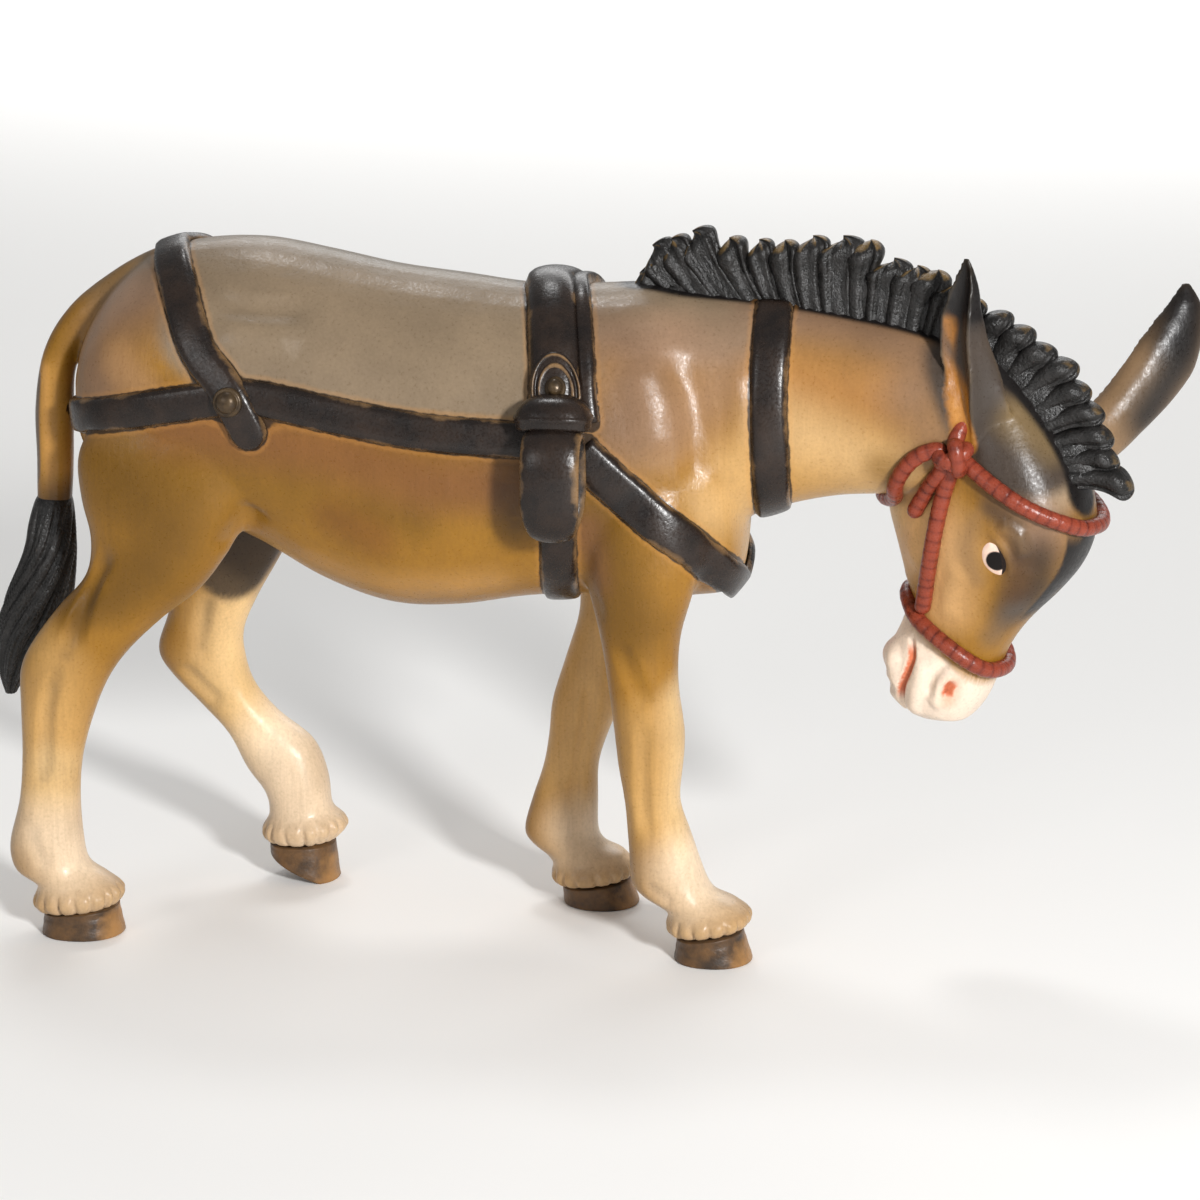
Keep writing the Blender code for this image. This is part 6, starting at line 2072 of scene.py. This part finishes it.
@dataclass(frozen=True)
class StainedMaple:
    """Maple, carved, sanded, sprayed with thin water stain and sealed with satin varnish.

    To the eye: soft colour runs under a thin shine, fine upright grain where the stain is thin, glaze
    gathered in the cuts together with painted shade there, the tops of ridges rubbed lighter together with a
    painted highlight, and beside the straps a painted highlight and then painted shade.
    """

    grain_width: float = 0.55
    grain_length: float = 14.0
    speckle: float = 0.42
    tool_mark: float = 3.2
    # the glaze also darkens the cuts as painted shade, and the rubbed colour lightens ridge tops as a painted
    # highlight
    glaze: str = "#5a3a1c"
    rubbed: str = "#e8c48e"
    # beside the straps: a golden painted highlight, then painted shade right at their sides
    strap_edge_highlight: str = "#c98e48"
    strap_edge_shade: str = "#1f160f"
    roughness: tuple[float, float] = (0.26, 0.44)
    shine: float = 0.3

    def build(self, name: str) -> Material:
        """The material, which reads the skin's stain, cover, hollow and strap_gap attributes.

        Args:
            name: What the material is called.

        Returns:
            The material.
        """
        material, tree, shader = new_finish(name)
        place = node(tree, "ShaderNodeTexCoord").outputs["Object"]
        stain = node(tree, "ShaderNodeAttribute", attribute_name="stain")
        cover = node(tree, "ShaderNodeAttribute", attribute_name="cover")
        hollow = node(tree, "ShaderNodeAttribute", attribute_name="hollow")
        gap = node(tree, "ShaderNodeAttribute", attribute_name="strap_gap")

        mottle = node(tree, "ShaderNodeTexNoise", {"Vector": place, "Scale": per(9.0), "Detail": 4.0})
        mottle = node(tree, "ShaderNodeMapRange", span(mottle.outputs["Fac"], (0.3, 0.7), (0.9, 1.08)))
        grain_place = node(tree, "ShaderNodeMapping", {
            "Vector": place, "Scale": (per(self.grain_width), per(self.grain_width), per(self.grain_length)),
        })
        grain = node(tree, "ShaderNodeTexNoise", {"Vector": grain_place.outputs[0], "Scale": 1.0,
            "Detail": 3.0, "Distortion": 0.4})
        streak = node(tree, "ShaderNodeMapRange", span(grain.outputs["Fac"], (0.42, 0.66)))
        bare = node(tree, "ShaderNodeMapRange", span(cover.outputs["Fac"], (0, 1), (0.09, 0.03)))
        streak = node(tree, "ShaderNodeMath", {0: streak.outputs[0], 1: bare.outputs[0]},
            operation="MULTIPLY")
        fleck = node(tree, "ShaderNodeTexNoise", {"Vector": place, "Scale": per(self.speckle), "Detail": 2.0})
        fleck_tone = node(tree, "ShaderNodeMapRange", span(fleck.outputs["Fac"], (0.3, 0.7), (0.94, 1.06)))
        tone = node(tree, "ShaderNodeMath", {0: mottle.outputs[0], 1: fleck_tone.outputs[0]},
            operation="MULTIPLY")
        colour = node(tree, "ShaderNodeVectorMath", {0: stain.outputs["Color"], "Scale": tone.outputs[0]},
                      operation="SCALE").outputs[0]
        colour = node(tree, "ShaderNodeMix", blend(streak.outputs[0], colour, shade(self.glaze)),
            data_type="RGBA", blend_type="MULTIPLY").outputs[MIXED]
        # The cuts are darkened with the glaze: glaze gathered there, and painted shade.
        deep = node(tree, "ShaderNodeMapRange", span(hollow.outputs["Fac"], (0.32, 0.66), (0, 0.75)))
        colour = node(tree, "ShaderNodeMix", blend(deep.outputs[0], colour, shade(self.glaze)),
            data_type="RGBA", blend_type="MULTIPLY").outputs[MIXED]
        # Ridge tops are lightened, pale stain the most: rubbed wood, and a painted highlight.
        pale = node(tree, "ShaderNodeRGBToBW", {0: stain.outputs["Color"]})
        rub = node(tree, "ShaderNodeMapRange", span(pale.outputs[0], (0, 0.16), (0.01, 0.13)))
        high = node(tree, "ShaderNodeMapRange", span(hollow.outputs["Fac"], (-0.12, -0.6),
            (0, rub.outputs[0])))
        colour = node(tree, "ShaderNodeMix", blend(high.outputs[0], colour, shade(self.rubbed)),
            data_type="RGBA").outputs[MIXED]
        # Beside each strap, a ragged golden painted highlight, and nearer its side painted shade.
        ragged = node(tree, "ShaderNodeTexNoise", {"Vector": place, "Scale": per(1.3), "Detail": 3.0})
        ragged = node(tree, "ShaderNodeMapRange", span(ragged.outputs["Fac"], (0.3, 0.7), (-0.12, 0.12)))
        edge = node(tree, "ShaderNodeMath", {0: gap.outputs["Fac"], 1: ragged.outputs[0]}, operation="ADD")
        strap_highlight = node(tree, "ShaderNodeMapRange", span(edge.outputs[0], (1, 0.35), (0, 0.16)),
            interpolation_type="SMOOTHSTEP")
        colour = node(tree, "ShaderNodeMix", blend(strap_highlight.outputs[0], colour, shade(self.strap_edge_highlight)),
            data_type="RGBA").outputs[MIXED]
        dark = node(tree, "ShaderNodeMapRange", span(edge.outputs[0], (0.26, 0.02), (0, 0.9)),
            interpolation_type="SMOOTHSTEP")
        colour = node(tree, "ShaderNodeMix", blend(dark.outputs[0], colour, shade(self.strap_edge_shade)),
            data_type="RGBA").outputs[MIXED]
        tree.links.new(colour, shader.inputs["Base Color"])

        low, high = self.roughness
        rough = node(tree, "ShaderNodeMapRange", span(fleck.outputs["Fac"], (0.3, 0.7), (low, high)))
        tree.links.new(rough.outputs[0], shader.inputs["Roughness"])
        marks = node(tree, "ShaderNodeTexNoise", {"Vector": place, "Scale": per(self.tool_mark),
            "Detail": 1.5})
        broad = node(tree, "ShaderNodeBump", {"Height": marks.outputs["Fac"], "Distance": 0.22 * MM,
            "Strength": 0.6})
        pores = node(tree, "ShaderNodeMath", {0: fleck.outputs["Fac"], 1: grain.outputs["Fac"]},
            operation="ADD")
        fine = node(tree, "ShaderNodeBump", {"Height": pores.outputs[0], "Distance": 0.04 * MM,
            "Strength": 0.6, "Normal": broad.outputs[0]})
        tree.links.new(fine.outputs[0], shader.inputs["Normal"])
        shader.inputs["Specular IOR Level"].default_value = self.shine
        return material


@dataclass(frozen=True)
class RubbedPaint:
    """Thin paint on carved wood, rubbed off the edges and glazed, under satin varnish.

    To the eye: a dark even tone that turns warm and lighter along its worn edges, with a broken shine.
    """

    base: str
    second: str
    worn: str
    wear_attribute: str
    wear: tuple[float, float] = (0.8, 1)       # where the wear begins and is full, on the attribute
    wear_strength: float = 0.6
    patch: float = 4.0
    speckle: float = 0.4
    roughness: tuple[float, float] = (0.26, 0.42)
    bump: float = 0.05
    shine: float = 0.34
    metallic: float = 0.0

    def build(self, name: str) -> Material:
        """The material, which reads its wear from an attribute where there is one.

        Args:
            name: What the material is called.

        Returns:
            The material.
        """
        material, tree, shader = new_finish(name)
        place = node(tree, "ShaderNodeTexCoord").outputs["Object"]
        patches = node(tree, "ShaderNodeTexNoise", {"Vector": place, "Scale": per(self.patch), "Detail": 5.0,
                                                    "Roughness": 0.6})
        spread = node(tree, "ShaderNodeMapRange", span(patches.outputs["Fac"], (0.35, 0.7)))
        colour = node(tree, "ShaderNodeMix", blend(spread.outputs[0], shade(self.base), shade(self.second)),
            data_type="RGBA").outputs[MIXED]
        fleck = node(tree, "ShaderNodeTexNoise", {"Vector": place, "Scale": per(self.speckle), "Detail": 3.0})
        if self.wear_attribute:
            worn = node(tree, "ShaderNodeAttribute", attribute_name=self.wear_attribute)
            uneven = node(tree, "ShaderNodeMapRange", span(patches.outputs["Fac"], (0.35, 0.65),
                (-0.22, 0.12)))
            total = node(tree, "ShaderNodeMath", {0: worn.outputs["Fac"], 1: uneven.outputs[0]},
                operation="ADD")
            rub = node(tree, "ShaderNodeMapRange", span(total.outputs[0], (self.wear[0], self.wear[1]),
                (0, self.wear_strength)))
            colour = node(tree, "ShaderNodeMix", blend(rub.outputs[0], colour, shade(self.worn)),
                data_type="RGBA").outputs[MIXED]
        tree.links.new(colour, shader.inputs["Base Color"])
        low, high = self.roughness
        rough = node(tree, "ShaderNodeMapRange", span(fleck.outputs["Fac"], (0.3, 0.7), (low, high)))
        tree.links.new(rough.outputs[0], shader.inputs["Roughness"])
        height = node(tree, "ShaderNodeMath", {0: patches.outputs["Fac"], 1: 3.0, 2: fleck.outputs["Fac"]},
                      operation="MULTIPLY_ADD")
        bump = node(tree, "ShaderNodeBump", {"Height": height.outputs[0], "Distance": self.bump * MM,
                                             "Strength": 0.5})
        tree.links.new(bump.outputs[0], shader.inputs["Normal"])
        shader.inputs["Metallic"].default_value = self.metallic
        shader.inputs["Specular IOR Level"].default_value = self.shine
        return material


@dataclass(frozen=True)
class EyeLacquer:
    """Hand-painted eye under clear gloss lacquer: pink-white, a near-black pupil and a dark lid line."""

    white: str = "#e6cbb8"
    pink: str = "#cf9d8c"
    pupil_colour: str = "#120d0c"
    lid: str = "#1d130f"
    pupil_place: tuple[float, float] = (0.25, 0.2)
    pupil_radius: float = 1.5

    def build(self, name: str) -> Material:
        """The material, which reads the lens map, whose unit is ten millimetres.

        Args:
            name: What the material is called.

        Returns:
            The material.
        """
        material, tree, shader = new_finish(name)
        lens = node(tree, "ShaderNodeUVMap", uv_map="lens")
        spot = node(tree, "ShaderNodeMapping", {
            "Vector": lens.outputs[0], "Scale": (10.0, 10.0, 1.0),
            "Location": (-5.0 - self.pupil_place[0], -5.0 - self.pupil_place[1], 0.0),
        })
        away = node(tree, "ShaderNodeVectorMath", {0: spot.outputs[0]}, operation="LENGTH")
        place = node(tree, "ShaderNodeTexCoord").outputs["Object"]
        tint = node(tree, "ShaderNodeTexNoise", {"Vector": place, "Scale": per(1.2), "Detail": 3.0})
        tint = node(tree, "ShaderNodeMapRange", span(tint.outputs["Fac"], (0.35, 0.75), (0, 0.6)))
        colour = node(tree, "ShaderNodeMix", blend(tint.outputs[0], shade(self.white), shade(self.pink)),
            data_type="RGBA").outputs[MIXED]
        inside = node(tree, "ShaderNodeMapRange", span(away.outputs["Value"],
            (self.pupil_radius + 0.1, self.pupil_radius - 0.1)))
        colour = node(tree, "ShaderNodeMix", blend(inside.outputs[0], colour, shade(self.pupil_colour)),
            data_type="RGBA").outputs[MIXED]
        split = node(tree, "ShaderNodeSeparateXYZ", {0: lens.outputs[0]})
        lid = node(tree, "ShaderNodeMath", {0: split.outputs["Y"], 1: 10.0, 2: -5.0},
            operation="MULTIPLY_ADD")
        # The lid line bows round the upper side, and fills the lower corner more than the upper.
        bow = node(tree, "ShaderNodeMath", {0: split.outputs["X"], 1: 10.0, 2: -4.4},
            operation="MULTIPLY_ADD")
        bow = node(tree, "ShaderNodeMath", {0: bow.outputs[0], 1: bow.outputs[0]}, operation="MULTIPLY")
        lid = node(tree, "ShaderNodeMath", {0: bow.outputs[0], 1: 0.1, 2: lid.outputs[0]},
                   operation="MULTIPLY_ADD")
        line = node(tree, "ShaderNodeMapRange", span(lid.outputs[0], (1.05, 1.17)))
        colour = node(tree, "ShaderNodeMix", blend(line.outputs[0], colour, shade(self.lid)),
            data_type="RGBA").outputs[MIXED]
        tree.links.new(colour, shader.inputs["Base Color"])
        shader.inputs["Roughness"].default_value = 0.1
        shader.inputs["Specular IOR Level"].default_value = 0.2
        return material


FINISHES = {
    "painted_coat": StainedMaple(),
    "black_stain": RubbedPaint("#151413", "#292726", "#94743e", "worn", (0.45, 1), 0.6, patch=1.6,
                               roughness=(0.24, 0.42), bump=0.2),
    "strap_paint": RubbedPaint("#171210", "#2c211a", "#866845", "edge", (0.8, 1.06), 0.75, patch=5,
                               roughness=(0.22, 0.38), bump=0.07),
    "rivet_paint": RubbedPaint("#33291f", "#54432d", "#b08a52", "", patch=2, roughness=(0.28, 0.42),
                               metallic=0.35),
    "rope_paint": RubbedPaint("#42130d", "#6f2a1d", "#90402a", "crest", (0.1, 0.9), 0.7, patch=3.2,
                              roughness=(0.22, 0.4), bump=0.1),
    "hoof_stain": RubbedPaint("#362a20", "#6b4d2e", "#a67a48", "toe", (0.3, 1), 0.8, patch=3.4,
                              roughness=(0.32, 0.5), bump=0.09),
    "eye_lacquer": EyeLacquer(),
}


# ---------------------------------------------------------------- the studio
@dataclass(frozen=True)
class Studio:
    """A pale floor, white surroundings, soft lights and the camera; places in metres, in the frame."""

    target: Place = (0.003, 0, 0.0507)
    azimuth: float = math.radians(8)
    elevation: float = math.radians(14)
    distance: float = 0.5
    lens: float = 101.25
    floor: str = "#f4f3f1"
    surroundings: float = 0.32
    # name: azimuth and elevation in degrees, distance and size in metres, power in watts
    lights: tuple[tuple[str, float, float, float, float, float], ...] = (
        ("key", 33, 19, 0.8, 0.1, 7),
        ("fill", -30, 20, 0.9, 0.3, 0.9),
        ("rim", -160, 62, 0.8, 0.16, 1),
        ("backdrop", 180, 25, 2.1, 1.8, 22),
    )

    def back(self, azimuth: float, elevation: float) -> Vector:
        """The way from the target out to a light or the camera."""
        return Vector((math.sin(azimuth) * math.cos(elevation), -math.cos(azimuth) * math.cos(elevation),
                       math.sin(elevation)))

    def build(self) -> None:
        """Makes the floor, the surroundings, the lights and the camera."""
        scene = bpy.context.scene
        scene.view_settings.view_transform = "Standard"
        target = Vector(self.target)
        half = 4.0
        floor = new_object("floor", np.array([(-half, -half, 0), (half, -half, 0), (half, half, 0),
                                              (-half, half, 0)]), [(0, 1, 2, 3)], smooth=False)
        paper, _, shader = new_finish("white_paper")
        shader.inputs["Base Color"].default_value = shade(self.floor)
        shader.inputs["Roughness"].default_value = 0.9
        floor.data.materials.append(paper)
        world = bpy.data.worlds.new("white_room")
        world.use_nodes = True
        world.node_tree.nodes["Background"].inputs["Color"].default_value = (1, 1, 1, 1)
        world.node_tree.nodes["Background"].inputs["Strength"].default_value = self.surroundings
        scene.world = world
        for name, azimuth, elevation, distance, size, power in self.lights:
            data = bpy.data.lights.new(name, "AREA")
            data.shape = "DISK"
            data.size = size
            data.energy = power
            light = bpy.data.objects.new(name, data)
            back = self.back(math.radians(azimuth), math.radians(elevation))
            light.location = target + back * distance
            if name != "backdrop":
                light.rotation_euler = back.to_track_quat("Z", "Y").to_euler()
            scene.collection.objects.link(light)
        data = bpy.data.cameras.new("camera")
        data.lens = self.lens
        data.sensor_width = 36.0
        data.clip_start, data.clip_end = 0.01, 20.0
        camera = bpy.data.objects.new("camera", data)
        back = self.back(self.azimuth, self.elevation)
        camera.location = target + back * self.distance
        camera.rotation_euler = back.to_track_quat("Z", "Y").to_euler()
        scene.collection.objects.link(camera)
        scene.camera = camera


# ---------------------------------------------------------------- putting it together
BODY_LOFTS = {
    "trunk": TRUNK, "neck": NECK, "head": HEAD, "leg_fore_right": FORELEG_RIGHT,
    "leg_fore_left": FORELEG_LEFT, "leg_hind_right": HINDLEG_RIGHT, "leg_hind_left": HINDLEG_LEFT,
    "tail_dock": TAIL_DOCK,
}


def strap_gaps(ground: Ground, straps: dict[str, Strap]) -> np.ndarray:
    """How far each point of the skin is from the nearest strap's side, in millimetres; large when far.

    Args:
        ground: The skin.
        straps: Every strap that lies on it.

    Returns:
        One distance for each vertex of the skin.
    """
    points = ground.points
    gaps = np.full(len(points), 9.0)
    for strap in straps.values():
        route, _ = strap.centre(ground)
        if strap.round_ends:
            inside = round(strap.width / 2 / strap.step)
            route = route[inside:-inside]
        reach = strap.width / 2 + 3
        near = np.flatnonzero(((points > route.min(0) - reach) & (points < route.max(0) + reach)).all(axis=1))
        distance, _ = along_route(points[near], route[::2])
        gaps[near] = np.minimum(gaps[near], distance - strap.width / 2)
    return gaps


def hollows(skin: Object, rounds: int = 3) -> np.ndarray:
    """How far each point lies under its neighbours, as a share of their distance: ridges are negative.

    Args:
        skin: The mesh object.
        rounds: How many times the result is averaged over neighbours.

    Returns:
        One number for each vertex.
    """
    mesh = skin.data
    points, normals = points_of(skin), normals_of(skin)
    ends = np.empty(len(mesh.edges) * 2, np.int32)
    mesh.edges.foreach_get("vertices", ends)
    one, two = ends.reshape(-1, 2).T
    away = points[two] - points[one]
    length = np.maximum(np.linalg.norm(away, axis=1), 1e-6)
    count = np.bincount(np.concatenate([one, two]), minlength=len(points))
    rise_one = (away * normals[one]).sum(axis=1) / length**2
    rise_two = -(away * normals[two]).sum(axis=1) / length**2
    value = (np.bincount(one, rise_one, len(points)) + np.bincount(two, rise_two, len(points))) / count
    for _ in range(rounds):
        value = (value + (np.bincount(one, value[two], len(points))
                          + np.bincount(two, value[one], len(points))) / count) / 2
    return value


def placed(obj: Object, replaced: Iterable[str]) -> None:
    """Moves a finished piece from the drawing into the frame, hangs it on the root body and hides the frame
    nodes that it stands for.

    Args:
        obj: The finished piece, drawn in millimetres.
        replaced: The frame nodes that it stands for.
    """
    set_points(obj, (points_of(obj) - ORIGIN) * MM)
    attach(obj, "root")
    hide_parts(*replaced)
    LOG.info("%s: %d faces, for %s", obj.name, len(obj.data.polygons), ", ".join(replaced))


def main() -> None:
    """Builds the donkey, dresses it and lights it."""
    logging.basicConfig(level=logging.INFO, format="%(message)s")
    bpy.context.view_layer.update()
    Studio().build()
    finishes = {name: finish.build(name) for name, finish in FINISHES.items()}

    carving = Carving(BODY_LOFTS, EARS)
    skin = carving.build()
    ground = Ground(skin)
    harness = Harness()
    add_attribute(skin, "hollow", hollows(skin))
    add_attribute(skin, "strap_gap", strap_gaps(ground, harness.straps))
    skin.data.materials.append(finishes["painted_coat"])

    pieces = {name: (obj, "strap_paint") for name, obj in harness.build(ground, finishes).items()}
    for name in pieces:
        if name.startswith(("tab_stud", "hip_rivet")):
            pieces[name] = (pieces[name][0], "rivet_paint")
    for name, obj in Halter().build(ground, finishes["rope_paint"]).items():
        pieces[name] = (obj, "rope_paint")
    for name, obj in Mane().build(finishes["black_stain"]).items():
        pieces[name] = (obj, "black_stain")
    tassel = Tassel(TAIL_TASSEL).build("tail_tassel_hair")
    tassel.data.materials.append(finishes["black_stain"])
    pieces["tail_tassel"] = (tassel, "black_stain")
    for name, stations in HOOVES.items():
        hoof = Hoof(stations).build(f"{name}_block")
        hoof.data.materials.append(finishes["hoof_stain"])
        pieces[name] = (hoof, "hoof_stain")
    for word, side in SIDES.items():
        eye = Eye().build(f"eye_{word}_lens", side, ground)
        eye.data.materials.append(finishes["eye_lacquer"])
        pieces[f"eye_{word}"] = (eye, "eye_lacquer")

    placed(skin, carving.replaced)
    for name, (obj, slot) in pieces.items():
        placed(obj, (name,))


if __name__ == "__main__":
    main()
